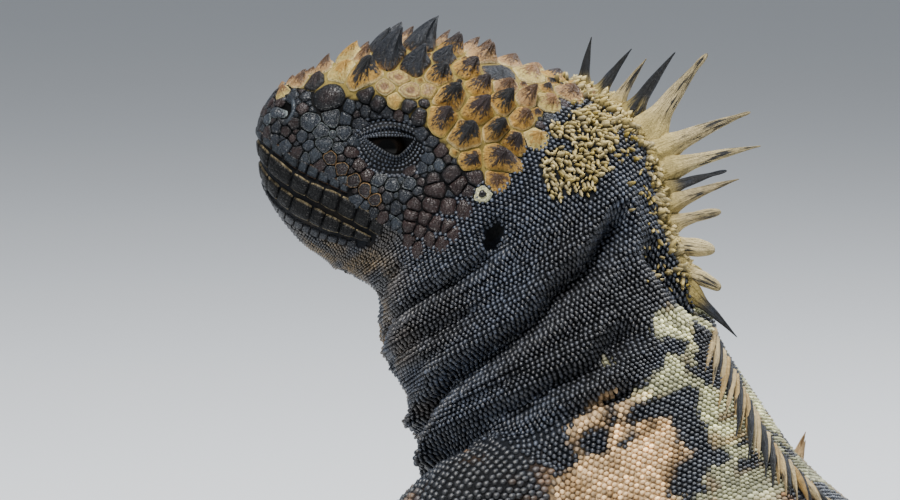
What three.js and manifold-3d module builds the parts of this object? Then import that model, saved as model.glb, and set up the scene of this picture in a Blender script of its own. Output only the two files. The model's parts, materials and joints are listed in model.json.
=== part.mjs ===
// A marine iguana, life size: hips, belly and tail rest on the floor, the straight forelegs lift the chest,
// the neck stands steep and the blunt head is turned to the animal's left.
// Millimetres, +Z up, +X towards the head, +Y to the animal's left, origin on the floor under the pelvis.

import * as THREE from "three";
import { mergeVertices } from "three/addons/utils/BufferGeometryUtils.js";
import Module from "manifold-3d";

const wasm = await Module();
wasm.setup();

// Driving sizes
const GAP = 0.3; // free space between touching pieces
const SETTLE = 0.5; // how far the tail's round underside is pressed flat on the floor
const TAIL_LENGTH = 520;
const TAIL_SWAY = -30; // half of the tail's sideways swing
const TAIL_WAVE = 330;
const BODY_SIDES = 28;
const HEAD_SIDES = 36;
const TAIL_SIDES = 16;
const VENT = -14; // where the tail starts, along the body from the pelvis
const WAIST = 118; // where the torso is parted
const SHOULDER = 243; // where the neck starts
const EYE_RADIUS = 6.8;
const LID = 1.2; // thickness of the lids over the eyeball

// The head's own frame: its origin lies between the eyes, tilted up by pitch and turned left by yaw.
const HEAD = { x: 269.3, y: 20.7, z: 190, pitch: 25, yaw: 30 };

const rad = THREE.MathUtils.degToRad;
const vec = (x, y, z) => new THREE.Vector3(x, y, z);

// A repeatable random draw between low and high.
let seed = 41;
function draw(low, high) {
  seed = (seed * 16807) % 2147483647;
  return low + ((high - low) * seed) / 2147483647;
}

// Forward, left and up of a section that is pitched up and turned left.
function axesOf(pitch, yaw) {
  const p = rad(pitch);
  const y = rad(yaw);
  return {
    forward: vec(Math.cos(p) * Math.cos(y), Math.cos(p) * Math.sin(y), Math.sin(p)),
    left: vec(-Math.sin(y), Math.cos(y), 0),
    up: vec(-Math.sin(p) * Math.cos(y), -Math.sin(p) * Math.sin(y), Math.cos(p)),
  };
}

const headAxes = axesOf(HEAD.pitch, HEAD.yaw);
const headOrigin = vec(HEAD.x, HEAD.y, HEAD.z);

// A point of the head's frame: along its axis, up from it and out to the left.
function headPoint(along, up, out = 0) {
  return headOrigin
    .clone()
    .addScaledVector(headAxes.forward, along)
    .addScaledVector(headAxes.up, up)
    .addScaledVector(headAxes.left, out);
}

// The coordinates of a point in the head's frame.
function inHead(point) {
  const d = point.clone().sub(headOrigin);
  return { along: d.dot(headAxes.forward), up: d.dot(headAxes.up), out: d.dot(headAxes.left) };
}

// Sections of the body, from the tail's tip to the snout. wide is the half width, up and down the half
// heights, crown and keel the shape of the upper and lower half: 2 is an ellipse, less a ridge, more boxy.
function tailSection(back, wide, up, down) {
  const turn = (Math.PI * back) / TAIL_WAVE;
  const slope = (TAIL_SWAY * Math.PI * Math.sin(turn)) / TAIL_WAVE;
  const y = TAIL_SWAY * (1 - Math.cos(turn));
  const yaw = THREE.MathUtils.radToDeg(Math.atan(-slope));
  return { x: -back, y, z: down - SETTLE, pitch: 0, yaw, wide, up, down, crown: 1.6, keel: 2 };
}

function trunkSection(x, y, z, pitch, yaw, wide, up, down, crown = 1.9) {
  return { x, y, z, pitch, yaw, wide, up, down, crown, keel: 2.3 };
}

function headSection(along, rise, tilt, wide, up, down, crown = 2) {
  const p = headPoint(along, rise);
  const pitch = HEAD.pitch + tilt;
  return { x: p.x, y: p.y, z: p.z, pitch, yaw: HEAD.yaw, wide, up, down, crown, keel: 2.2 };
}

const sections = [
  tailSection(TAIL_LENGTH, 1.2, 2.2, 2),
  tailSection(480, 3.2, 5, 4.2),
  tailSection(400, 6.2, 10.5, 7.8),
  tailSection(300, 9.2, 14.5, 11),
  tailSection(190, 13, 18, 14.5),
  tailSection(100, 17.5, 21, 18.5),
  tailSection(45, 25, 25, 24),
  trunkSection(0, 0, 34, 0, 0, 38, 29, 34.5),
  trunkSection(50, 0, 36, 1, 0, 49, 33, 37.5),
  trunkSection(101, 0, 40.3, 11, 0, 56, 35, 43),
  trunkSection(144.3, 0, 52.2, 25, 0, 56, 38, 43),
  trunkSection(183, 0, 74.8, 42, 1, 51, 41, 44),
  trunkSection(204.2, 0, 96, 54, 3, 46, 44, 46),
  trunkSection(220.7, 0.9, 121, 64, 8, 41, 44.5, 47, 1.8),
  trunkSection(232.7, 3.3, 143.4, 61, 14, 36, 46, 44, 1.65),
  trunkSection(240, 5.8, 164, 56, 21, 33, 49, 45, 1.6),
  headSection(-24.2, -0.3, 25.7, 29.5, 42.5, 40, 1.8),
  headSection(-11, -1.5, 16, 27.5, 38.5, 36.5),
  headSection(1, -3, 7, 23.5, 35.5, 33.5),
  headSection(11, -4, 0, 20, 30.5, 31.2),
  headSection(20, -6, 0, 17, 25, 24.8),
  headSection(27, -7.5, 0, 14, 18.5, 17.9),
  headSection(32, -7, 0, 10.6, 12.5, 10.5),
  headSection(35, -6.5, 0, 6, 7, 5.4),
  headSection(36, -6.4, 0, 1.6, 1.8, 1.4),
];

// Each section's place along the body, with 0 at the pelvis.
sections.forEach((section, i) => {
  const last = sections[i - 1];
  const step = last ? vec(section.x, section.y, section.z).distanceTo(vec(last.x, last.y, last.z)) : 0;
  section.at = last ? last.at + step : 0;
});
const pelvis = sections.find((section) => section.x === 0).at;
sections.forEach((section) => (section.at -= pelvis));
const TAIL_END = sections[0].at;
const SNOUT_END = sections[sections.length - 1].at;

// A smooth curve through one value of the sections.
function sectionValue(key, at) {
  const last = sections.length - 1;
  let i = sections.findIndex((section) => section.at > at) - 1;
  if (i < 0) i = at <= sections[0].at ? 0 : last - 1;
  const span = (a, b) => sections[b].at - sections[a].at;
  const slope = (k) => {
    const a = Math.max(k - 1, 0);
    const b = Math.min(k + 1, last);
    return (sections[b][key] - sections[a][key]) / span(a, b);
  };
  const h = span(i, i + 1);
  const t = THREE.MathUtils.clamp((at - sections[i].at) / h, 0, 1);
  const t2 = t * t;
  const t3 = t2 * t;
  return (
    (2 * t3 - 3 * t2 + 1) * sections[i][key] +
    (t3 - 2 * t2 + t) * h * slope(i) +
    (3 * t2 - 2 * t3) * sections[i + 1][key] +
    (t3 - t2) * h * slope(i + 1)
  );
}

function sectionAt(at) {
  const value = (key) => sectionValue(key, at);
  return {
    centre: vec(value("x"), value("y"), value("z")),
    ...axesOf(value("pitch"), value("yaw")),
    wide: value("wide"),
    rise: value("up"),
    drop: value("down"),
    crown: value("crown"),
    keel: value("keel"),
  };
}

// Swellings and hollows of the head's sides, in its own frame: place, reach and height of each.
const relief = [
  { along: 7, up: 14, reach: 12, tall: 4.5, rise: 2.4 }, // brow
  { along: 17, up: 3, reach: 6, tall: 6, rise: -1.6 }, // hollow between eye and nostril
  { along: 30, up: -1.5, reach: 4.5, tall: 4.5, rise: 1.6 }, // nostril
  { along: 0.5, up: 0.5, reach: 10, tall: 8, rise: -3.4 }, // eye socket
  { along: -22, up: -16, reach: 12, tall: 11, rise: 3.2 }, // jowl
  { along: 12, up: -18.5, reach: 20, tall: 2.4, rise: 1 }, // upper lip
  { along: 10, up: -26.5, reach: 17, tall: 2.6, rise: 1 }, // lower lip
  { along: -43, up: -14, reach: 6, tall: 9, rise: -2.2 }, // hollow behind the ear
  { along: -30, up: -42, reach: 14, tall: 10, rise: 3.5 }, // throat pouch
];

function reliefAt(point) {
  const { along, up, out } = inHead(point);
  const side = THREE.MathUtils.smoothstep(Math.abs(out), 3, 10);
  return relief.reduce((sum, r) => {
    const far = ((along - r.along) / r.reach) ** 2 + ((up - r.up) / r.tall) ** 2;
    return sum + side * r.rise * Math.exp(-far);
  }, 0);
}

const flat = (point) => point.setZ(Math.max(point.z, 0)); // what would pass through the floor lies on it

// The point of the skin at a place along the body and an angle from the back's middle line towards the left.
function skinPoint(at, angle, grow = 0) {
  const s = sectionAt(at);
  const sin = Math.sin(angle);
  const cos = Math.cos(angle);
  const high = cos >= 0;
  const power = 2 / (high ? s.crown : s.keel);
  const tall = (high ? s.rise : s.drop) + grow;
  const out = Math.sign(sin) * Math.abs(sin) ** power * (s.wide + grow);
  const up = Math.sign(cos) * Math.abs(cos) ** power * tall;
  const point = s.centre.clone().addScaledVector(s.left, out).addScaledVector(s.up, up);
  const normal = s.left.clone().multiplyScalar(sin / s.wide).addScaledVector(s.up, cos / tall).normalize();
  return { point: flat(point.addScaledVector(normal, reliefAt(point))), normal, ...s };
}

// The point of the head's skin nearest to a place in its profile, on the left (1) or the right (-1).
function onHead(along, up, sign) {
  let best;
  for (let at = SNOUT_END - 90; at < SNOUT_END; at += 1.5)
    for (let turn = 0.1; turn < Math.PI; turn += 0.05) {
      const skin = skinPoint(at, sign * turn);
      const here = inHead(skin.point);
      const far = Math.hypot(here.along - along, here.up - up);
      if (!best || far < best.far) best = { ...skin, far };
    }
  return best.point;
}

// A closed skin over rings of points, each ring turning the same way; tip closes the last ring to a point.
function loft(rings, tip) {
  const sides = rings[0].length;
  const points = rings.flat();
  const faces = [];
  for (let i = 0; i + 1 < rings.length; i++)
    for (let j = 0; j < sides; j++) {
      const a = i * sides + j;
      const b = i * sides + ((j + 1) % sides);
      faces.push(a, b, a + sides, b, b + sides, a + sides);
    }
  for (const [ring, outward] of [[0, false], [rings.length - 1, true]]) {
    const middle = rings[ring].reduce((sum, p) => sum.add(p), vec(0, 0, 0)).divideScalar(sides);
    points.push(outward && tip ? tip : middle);
    for (let j = 0; j < sides; j++) {
      const a = ring * sides + j;
      const b = ring * sides + ((j + 1) % sides);
      faces.push(...(outward ? [a, b, points.length - 1] : [b, a, points.length - 1]));
    }
  }
  const geometry = new THREE.BufferGeometry().setFromPoints(points);
  geometry.setIndex(faces);
  return geometry;
}

// A geometry as a solid, with its faces turned outwards.
function solid(geometry) {
  const bare = geometry.clone();
  bare.deleteAttribute("normal");
  bare.deleteAttribute("uv");
  const merged = mergeVertices(bare, 1e-4);
  const triVerts = new Uint32Array(merged.index.array);
  const vertProperties = new Float32Array(merged.attributes.position.array);
  const made = new wasm.Manifold(new wasm.Mesh({ numProp: 3, vertProperties, triVerts }));
  if (made.volume() > 0) return made;
  for (let i = 0; i < triVerts.length; i += 3)
    [triVerts[i + 1], triVerts[i + 2]] = [triVerts[i + 2], triVerts[i + 1]];
  return new wasm.Manifold(new wasm.Mesh({ numProp: 3, vertProperties, triVerts }));
}

// The largest piece of a solid, as a geometry.
function geometryOf(made) {
  const whole = made.decompose().reduce((a, b) => (b.volume() > a.volume() ? b : a));
  const mesh = whole.getMesh();
  const positions = new Float32Array(mesh.numVert * 3);
  for (let i = 0; i < mesh.numVert; i++)
    positions.set(mesh.vertProperties.subarray(i * mesh.numProp, i * mesh.numProp + 3), i * 3);
  const geometry = new THREE.BufferGeometry();
  geometry.setAttribute("position", new THREE.BufferAttribute(positions, 3));
  geometry.setIndex(new THREE.BufferAttribute(new Uint32Array(mesh.triVerts), 1));
  return geometry;
}

const joined = (...solids) => wasm.Manifold.union(solids);

// Finishes
const finish = (color, roughness) => new THREE.MeshStandardMaterial({ color, roughness, metalness: 0 });
const blackSkin = finish(0x1b1a1b, 0.55);
const mottledSkin = finish(0x4a4238, 0.65);
const shieldSkin = finish(0x6b5426, 0.6);
const eyeGloss = finish(0x0a0706, 0.1);
const clawHorn = finish(0x141214, 0.35);

const iguana = new THREE.Group();
function add(name, made, material) {
  const mesh = new THREE.Mesh(geometryOf(made), material);
  mesh.name = name;
  iguana.add(mesh);
}

// A stretch of the body as a solid; grow swells it and closes its end gaps, as room for what meets it.
function stretch(from, to, rings, sides, grow = 0) {
  const trim = grow ? 0 : GAP / 2;
  const low = from === TAIL_END ? from : from + trim;
  const high = to === SNOUT_END ? to : to - trim;
  const made = [];
  for (let i = 0; i < rings; i++) {
    const at = THREE.MathUtils.lerp(low, high, i / (rings - 1));
    const angles = Array.from({ length: sides }, (_, j) => (2 * Math.PI * (j + 0.5)) / sides);
    made.push(angles.map((angle) => skinPoint(at, angle, grow).point));
  }
  return solid(loft(made));
}

// A flattened spine of the crest. It rises back at an angle over the horizon, or leans back from the skin's
// own upright, flops to the left and bends back towards its tip.
function crestSpine(spine) {
  const { at, tall, root, thick, rise, lean = 0, flop = 0, blunt = 0.12 } = spine;
  const { sides = 6, levels = [0, 0.35, 0.7] } = spine;
  const { point, up, forward, left } = skinPoint(at, 0);
  const back = rise === undefined ? lean : 90 + THREE.MathUtils.radToDeg(Math.asin(-forward.z)) - rise;
  const axis = up
    .clone()
    .multiplyScalar(Math.cos(rad(back)) * Math.cos(rad(flop)))
    .addScaledVector(forward, -Math.sin(rad(back)) * Math.cos(rad(flop)))
    .addScaledVector(left, Math.sin(rad(flop)));
  const side = left.clone().addScaledVector(axis, -left.dot(axis)).normalize();
  const fore = side.clone().cross(axis);
  const sunk = 3;
  const middle = (level) =>
    point
      .clone()
      .addScaledVector(axis, level * (tall + sunk) - sunk)
      .addScaledVector(fore, -tall * 0.1 * level * level);
  const rings = levels.map((level) => {
    const taper = Math.max(1 - level, blunt) ** 0.85;
    return Array.from({ length: sides }, (_, j) => {
      const turn = (2 * Math.PI * j) / sides;
      return middle(level)
        .addScaledVector(fore, Math.cos(turn) * root * 0.5 * taper)
        .addScaledVector(side, Math.sin(turn) * thick * 0.5 * taper);
    });
  });
  return solid(loft(rings, middle(1)));
}

// Spines at even steps over a stretch of the back, clear of its ends.
function crestRow(from, to, count, shape) {
  return Array.from({ length: count }, (_, i) => {
    const at = from + ((i + 0.5) * (to - from)) / count;
    const spine = { ...shape(at), sides: 4, levels: [0, 0.6] };
    spine.tall *= draw(0.85, 1.15);
    spine.lean += draw(-4, 4);
    return crestSpine({ at, ...spine });
  });
}

// Tail: three lengths with a low crest
function tailCrest(at) {
  const near = THREE.MathUtils.clamp(1 - at / TAIL_END, 0, 1);
  return { tall: 2.4 + 5.2 * near, root: 3.4 + 2.8 * near, thick: 1.4 + 0.8 * near, lean: 52, flop: 0 };
}
const tailLengths = [
  { name: "tail_tip", from: TAIL_END, to: -345, rings: 7, spines: 14, clear: 30 },
  { name: "tail_middle", from: -345, to: -170, rings: 7, spines: 16, clear: 3 },
  { name: "tail_base", from: -170, to: VENT, rings: 8, spines: 13, clear: 3 },
];
for (const { name, from, to, rings, spines, clear } of tailLengths) {
  const body = stretch(from, to, rings, TAIL_SIDES);
  add(name, joined(body, ...crestRow(from + clear, to - 4, spines, tailCrest)), blackSkin);
}

// Torso: the resting half and the raised half
function backCrest(at) {
  const shoulder = THREE.MathUtils.smoothstep(at, 60, 220);
  return {
    tall: 8 + 6 * shoulder,
    root: 6.2 + 1.2 * shoulder,
    thick: 2.6,
    lean: 50 - 8 * shoulder,
    flop: 12 + 30 * shoulder,
  };
}
const torsoParts = [
  { name: "torso_rear", from: VENT, to: WAIST, rings: 9, spines: 15 },
  { name: "torso_front", from: WAIST, to: SHOULDER, rings: 11, spines: 15 },
];
for (const { name, from, to, rings, spines } of torsoParts) {
  const body = stretch(from, to, rings, BODY_SIDES);
  add(name, joined(body, ...crestRow(from + 4, to - 4, spines, backCrest)), mottledSkin);
}
const bodyRoom = joined(
  ...torsoParts.map((t) => stretch(t.from, t.to, t.rings, BODY_SIDES, GAP)),
  stretch(SHOULDER, SHOULDER + 50, 15, HEAD_SIDES, GAP),
);

// A block over the head's profile, from points along and up in the head's frame.
function profileBlock(points) {
  const halfWidth = 90;
  const shape = new THREE.Shape(points.map(([along, up]) => new THREE.Vector2(along, up)));
  const geometry = new THREE.ExtrudeGeometry(shape, { depth: 2 * halfWidth, bevelEnabled: false });
  geometry.translate(0, 0, -halfWidth);
  const frame = new THREE.Matrix4().makeBasis(
    headAxes.forward,
    headAxes.up,
    headAxes.left.clone().negate(),
  );
  geometry.applyMatrix4(frame.setPosition(headOrigin));
  return solid(geometry);
}

// The head's block ends behind the ear and slopes forward under the jaw; the jaw's lies below the mouth.
const NAPE_CUT = -45;
const headBlock = (gap) =>
  profileBlock([
    [NAPE_CUT - gap, 90],
    [NAPE_CUT - gap, -14],
    [-16 - gap, -43],
    [-4 - gap, -56],
    [70, -56],
    [70, 90],
  ]);
const JAW_CORNER = -9;
const mouthLine = [
  [60, -12],
  [34, -18.6],
  [27, -20.8],
  [18, -22.2],
  [JAW_CORNER, -22.8],
];
const jawBlock = (gap) =>
  profileBlock([
    ...mouthLine.map(([along, up], i) => [along - (i === mouthLine.length - 1 ? gap : 0), up + gap]),
    [JAW_CORNER - gap, -70],
    [60, -70],
  ]);
const lipGroove = profileBlock([
  ...mouthLine.slice(0, -1).map(([along, up]) => [along, up + 0.9]),
  [JAW_CORNER + 1, -22.4],
  ...mouthLine.slice(0, -1).reverse().map(([along, up]) => [along, up - 0.3]),
]);

// Neck with the tall spines of the nape, each by its place, height, lean back and root
const napeSpines = [
  { at: 315.5, tall: 15, root: 4.6, thick: 2.6, rise: 80 },
  { at: 311, tall: 15.5, root: 5, thick: 2.8, rise: 60 },
  { at: 307, tall: 17, root: 5.2, thick: 2.8, rise: 57 },
  { at: 303, tall: 23, root: 6.4, thick: 3.2, rise: 54 },
  { at: 297.5, tall: 27.5, root: 9, thick: 4.4, rise: 51, blunt: 0.2 },
  { at: 290, tall: 27.5, root: 7.6, thick: 4, rise: 31 },
  { at: 285, tall: 27, root: 7.4, thick: 3.8, rise: 20 },
  { at: 280.5, tall: 18, root: 6, thick: 3.4, rise: 24 },
  { at: 276.5, tall: 20.5, root: 6.2, thick: 3.6, rise: 20 },
  { at: 271.5, tall: 14, root: 7, thick: 4, rise: 21, blunt: 0.35 },
  { at: 265.5, tall: 10, root: 7.5, thick: 4.8, rise: 12, blunt: 0.6 },
  { at: 259.5, tall: 9.5, root: 7, thick: 4.6, rise: -16, blunt: 0.5 },
  { at: 254, tall: 17, root: 5, thick: 2.6, rise: -38 },
];

const front = stretch(SHOULDER, SNOUT_END, 36, HEAD_SIDES);
const neck = joined(
  front.subtract(headBlock(GAP)),
  ...napeSpines.map(crestSpine),
);
add("neck", neck.subtract(headBlock(GAP)), blackSkin);

// Head: bosses on the crown, lidded eyes, nostrils, ears and lips
function boss({ point, normal, across, tall }) {
  const side = headAxes.left.clone().cross(normal).normalize();
  const other = normal.clone().cross(side);
  const sides = 6;
  const turnBy = draw(0, Math.PI);
  const tip = side.clone().multiplyScalar(draw(-0.2, 0.2) * across);
  tip.addScaledVector(other, draw(-0.2, 0.2) * across);
  const levels = [
    { rise: -2, wide: 1, shift: 0 },
    { rise: 0.42 * tall, wide: 0.68, shift: 0.3 },
  ];
  const middle = (rise, shift) => point.clone().addScaledVector(normal, rise).addScaledVector(tip, shift);
  const rings = levels.map(({ rise, wide, shift }) =>
    Array.from({ length: sides }, (_, j) => {
      const turn = turnBy + (2 * Math.PI * j) / sides;
      return middle(rise, shift)
        .addScaledVector(side, Math.cos(turn) * wide * across)
        .addScaledVector(other, Math.sin(turn) * wide * across);
    }),
  );
  return solid(loft(rings, middle(tall, 1)));
}

// The lower edge of the crown's shield of bosses, from the nostrils back to above the ear.
const shieldEdge = [
  [34, 3],
  [16, 8],
  [6, 12.5],
  [-9, 11],
  [-20, 5],
  [-29, 4.5],
  [-40, 9],
];
function shieldHeight(along) {
  let i = shieldEdge.findIndex(([a]) => a < along);
  i = i < 1 ? (i === 0 ? 1 : shieldEdge.length - 1) : i;
  const [a0, u0] = shieldEdge[i - 1];
  const [a1, u1] = shieldEdge[i];
  return THREE.MathUtils.mapLinear(along, a0, a1, u0, u1);
}

const bosses = [];
const BOSS_STEP = 8.5;
const SHIELD_BACK = 309;
const SHIELD_FRONT = 374;
for (let row = 0; SHIELD_BACK + row * BOSS_STEP * 0.86 < SHIELD_FRONT; row++) {
  const at = SHIELD_BACK + row * BOSS_STEP * 0.86;
  const { wide } = sectionAt(at);
  const stepAngle = BOSS_STEP / (wide + 4);
  for (let column = -6; column <= 6; column++) {
    const angle = (column + (row % 2) / 2) * stepAngle;
    const { point, normal } = skinPoint(at + draw(-0.6, 0.6), angle);
    const { along, up } = inHead(point);
    if (Math.abs(angle) > 1.5 || up < shieldHeight(along) + 2 || along > 31 || along < -41) continue;
    const brow = Math.exp(-(((along - 8) / 14) ** 2)) * THREE.MathUtils.smoothstep(up, 10, 20);
    const across = (4.1 + 1.1 * brow) * draw(0.94, 1.08);
    const tall = (3.2 + 4.6 * brow + 0.07 * Math.max(up - 8, 0)) * draw(0.85, 1.15);
    bosses.push(boss({ point, normal, across, tall }));
  }
}

function ball(radius, detail, centre, scale = vec(1, 1, 1)) {
  const frame = new THREE.Matrix4().makeBasis(headAxes.forward, headAxes.left, headAxes.up);
  const geometry = new THREE.IcosahedronGeometry(radius, detail);
  geometry.scale(scale.x, scale.y, scale.z);
  geometry.applyMatrix4(frame.setPosition(centre));
  return solid(geometry);
}

// The slit between the lids, drawn over the profile and cut into one side only.
function eyeSlit(side) {
  const shape = new THREE.Shape();
  shape.moveTo(7.2, -1.4);
  shape.quadraticCurveTo(1, 3.2, -6, 3.6);
  shape.quadraticCurveTo(-1.5, -3.4, 7.2, -1.4);
  const geometry = new THREE.ExtrudeGeometry(shape, { depth: 14, bevelEnabled: false, curveSegments: 5 });
  geometry.rotateX(Math.PI / 2);
  geometry.translate(0, side * 21 + 7, 0);
  const frame = new THREE.Matrix4().makeBasis(headAxes.forward, headAxes.left, headAxes.up);
  return solid(geometry.applyMatrix4(frame.setPosition(headOrigin)));
}

const EYE_OUT = 14.6; // from the middle of the head to an eye's centre
const sides = [
  { name: "left", sign: 1 },
  { name: "right", sign: -1 },
];
const eyes = sides.map(({ sign }) => headPoint(0.5, 0.5, sign * EYE_OUT));
const lids = eyes.map((centre) => ball(EYE_RADIUS + GAP + LID, 2, centre));
const sockets = eyes.map((centre) => ball(EYE_RADIUS + GAP, 2, centre));
const slits = sides.map(({ sign }) => eyeSlit(sign));
const nostrils = sides.map(({ sign }) => ball(1, 1, onHead(30.2, -2.5, sign), vec(1.5, 2.4, 2.6)));
const ears = sides.map(({ sign }) => ball(1, 2, onHead(-36.5, -9, sign), vec(3, 4.5, 6)));

let head = front.intersect(headBlock(0));
head = joined(head, ...bosses, ...lids);
head = head.intersect(headBlock(0));
for (const hollow of [...slits, ...sockets, ...nostrils, ...ears, lipGroove]) head = head.subtract(hollow);
add("head", head.subtract(jawBlock(GAP)), shieldSkin);
add("lower_jaw", front.intersect(jawBlock(0)), blackSkin);
sides.forEach(({ name }, i) => add(`eye_${name}`, ball(EYE_RADIUS, 2, eyes[i]), eyeGloss));

// Limbs: a path from inside the body to the knuckles, with the half width and half thickness at each point
const limbs = {
  fore: {
    path: [
      [203, 20, 97, 18, 23],
      [222, 49, 91, 17, 20],
      [240, 80, 64, 12.5, 13.5],
      [246, 94, 35, 9.8, 10],
      [248, 99, 13, 8.5, 7],
      [260, 103, 5.6, 10, 6],
      [268, 105, 4, 9.5, 4.2],
    ],
    cuts: [0.335, 0.61],
    names: ["upper_arm", "forearm", "hand"],
    heading: 16,
    toes: [
      { spread: -40, long: 9, offset: -7.5 },
      { spread: -20, long: 16, offset: -4.4 },
      { spread: -2, long: 20, offset: -0.6 },
      { spread: 18, long: 19, offset: 3.4 },
      { spread: 44, long: 12, offset: 7 },
    ],
  },
  hind: {
    path: [
      [10, 20, 38, 23, 24],
      [30, 52, 37, 20, 21],
      [47, 82, 32, 14.5, 15.5],
      [28, 102, 19, 10.5, 11],
      [5, 113, 9, 9, 8.2],
      [10, 127, 5.8, 10, 6.2],
      [21, 141, 4, 9.5, 4.2],
    ],
    cuts: [0.36, 0.6],
    names: ["thigh", "shank", "foot"],
    heading: 48,
    toes: [
      { spread: -36, long: 12, offset: -7.5 },
      { spread: -19, long: 21, offset: -4.2 },
      { spread: -4, long: 30, offset: -0.4 },
      { spread: 10, long: 36, offset: 3.6 },
      { spread: 40, long: 21, offset: 7.2 },
    ],
  },
};

// Rings along a path, kept from twisting from its outer end inwards.
function limbRings(path, from, to, count, grow, sign, forward) {
  const points = path.map(([x, y, z]) => vec(x, sign * y, z));
  const curve = new THREE.CatmullRomCurve3(points, false, "centripetal");
  const size = (key, t) => {
    const place = THREE.MathUtils.clamp(t, 0, 1) * (path.length - 1);
    const i = Math.min(Math.floor(place), path.length - 2);
    return THREE.MathUtils.lerp(path[i][key], path[i + 1][key], place - i);
  };
  const fine = 60;
  const sidesAt = [];
  let side = vec(-Math.sin(forward), Math.cos(forward), 0);
  for (let i = fine; i >= 0; i--) {
    const tangent = curve.getTangent(i / fine);
    side = side.clone().addScaledVector(tangent, -side.dot(tangent)).normalize();
    sidesAt[i] = side;
  }
  return Array.from({ length: count }, (_, k) => {
    const t = THREE.MathUtils.lerp(from, to, k / (count - 1));
    const tangent = curve.getTangent(t);
    const across = sidesAt[Math.round(t * fine)].clone();
    across.addScaledVector(tangent, -across.dot(tangent)).normalize();
    const thick = tangent.clone().cross(across);
    const middle = curve.getPoint(t);
    return Array.from({ length: 12 }, (_, j) => {
      const turn = (2 * Math.PI * j) / 12;
      const point = middle
        .clone()
        .addScaledVector(across, Math.cos(turn) * (size(3, t) + grow))
        .addScaledVector(thick, Math.sin(turn) * (size(4, t) + grow));
      return flat(point);
    });
  });
}

// A round rod on the floor, of upright rings set along a direction from root: each is far, high and wide.
function rod(root, along, stations, around) {
  const across = vec(-along.y, along.x, 0);
  const rings = stations.map(([far, high, radius]) =>
    Array.from({ length: around }, (_, j) => {
      const turn = (2 * Math.PI * (j + 0.5)) / around;
      const point = root.clone().setZ(high).addScaledVector(along, far);
      point.addScaledVector(across, Math.cos(turn) * radius);
      return flat(point.setZ(high + Math.sin(turn) * radius));
    }),
  );
  return solid(loft(rings));
}

function toeAndClaw(knuckle, heading, { spread, long, offset }, sign) {
  const turn = sign * rad(heading + spread);
  const along = vec(Math.cos(turn), Math.sin(turn), 0);
  const facing = sign * rad(heading);
  const across = vec(-Math.sin(facing), Math.cos(facing), 0).multiplyScalar(sign);
  const root = knuckle.clone().addScaledVector(across, offset).addScaledVector(along, -4);
  const reach = long + 4;
  const toe = [
    [0, 4, 3],
    [reach * 0.34, 5, 2.9],
    [reach * 0.7, 3.4, 2.4],
    [reach, 2, 2.1],
  ];
  const claw = [
    [reach + GAP, 2.3, 1.75],
    [reach + 3, 3.6, 1.5],
    [reach + 6.2, 3.1, 1],
    [reach + 8.6, 1, 0.35],
  ];
  return { toe: rod(root, along, toe, 7), claw: rod(root, along, claw, 6) };
}

// Where each foot is set down, ahead of or behind its pair.
const steps = { fore: { left: 0, right: 9 }, hind: { left: 0, right: -12 } };
for (const [pair, limb] of Object.entries(limbs))
  for (const { name, sign } of sides) {
    const shift = steps[pair][name];
    const last = limb.path.length - 1;
    const path = limb.path.map(([x, y, z, w, t], i) => [x + (shift * i) / last, y, z, w, t]);
    const [near, far] = limb.cuts;
    const trim = 0.0022;
    const heading = sign * rad(limb.heading);
    const rings = (from, to, count) => solid(loft(limbRings(path, from, to, count, 0, sign, heading)));
    const [upper, lower, end] = limb.names;
    add(`${upper}_${name}`, rings(0, near - trim, 7).subtract(bodyRoom), mottledSkin);
    add(`${lower}_${name}`, rings(near + trim, far - trim, 7), blackSkin);
    const [kx, ky] = path[last];
    const digits = limb.toes.map((toe) => toeAndClaw(vec(kx, sign * ky, 4), limb.heading, toe, sign));
    add(`${end}_${name}`, joined(rings(far + trim, 1, 6), ...digits.map(({ toe }) => toe)), blackSkin);
    digits.forEach(({ claw }, i) => add(`claw_${pair}_${name}_${i + 1}`, claw, clawHorn));
  }

export default iguana;
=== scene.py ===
"""A marine iguana, life size, dressed over its solids: skin, scales, horny bosses, spines, lids, eyes and claws.

Places on the body are given as `at`, millimetres along it from the pelvis towards the snout, and `turn`, the
angle in degrees from the back's middle line down the animal's left side. Places on the head are given in its
own frame: along towards the snout, up, and out to the left.
"""

import json
import logging
import math
from collections.abc import Callable
from dataclasses import dataclass
from enum import Enum

import bpy
import numpy as np
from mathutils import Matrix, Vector
from mathutils.bvhtree import BVHTree
from mathutils.kdtree import KDTree

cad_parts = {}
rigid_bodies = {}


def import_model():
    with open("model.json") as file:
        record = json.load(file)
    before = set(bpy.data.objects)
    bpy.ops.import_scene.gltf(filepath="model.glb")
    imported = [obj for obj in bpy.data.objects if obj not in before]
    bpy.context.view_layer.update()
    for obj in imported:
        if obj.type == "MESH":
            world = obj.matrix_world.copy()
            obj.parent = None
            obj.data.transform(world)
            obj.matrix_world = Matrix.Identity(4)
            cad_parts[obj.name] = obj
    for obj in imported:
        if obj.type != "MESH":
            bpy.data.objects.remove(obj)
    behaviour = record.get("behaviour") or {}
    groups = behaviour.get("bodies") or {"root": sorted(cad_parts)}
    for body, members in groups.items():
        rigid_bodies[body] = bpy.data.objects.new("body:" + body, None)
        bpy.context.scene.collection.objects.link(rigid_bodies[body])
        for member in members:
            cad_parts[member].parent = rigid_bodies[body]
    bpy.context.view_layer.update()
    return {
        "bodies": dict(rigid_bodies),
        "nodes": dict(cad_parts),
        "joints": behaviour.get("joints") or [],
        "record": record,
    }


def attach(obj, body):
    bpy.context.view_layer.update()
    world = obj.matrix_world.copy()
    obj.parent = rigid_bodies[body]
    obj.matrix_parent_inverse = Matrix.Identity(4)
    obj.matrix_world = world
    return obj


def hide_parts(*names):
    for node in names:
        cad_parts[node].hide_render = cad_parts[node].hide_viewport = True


log = logging.getLogger("iguana")

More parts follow.
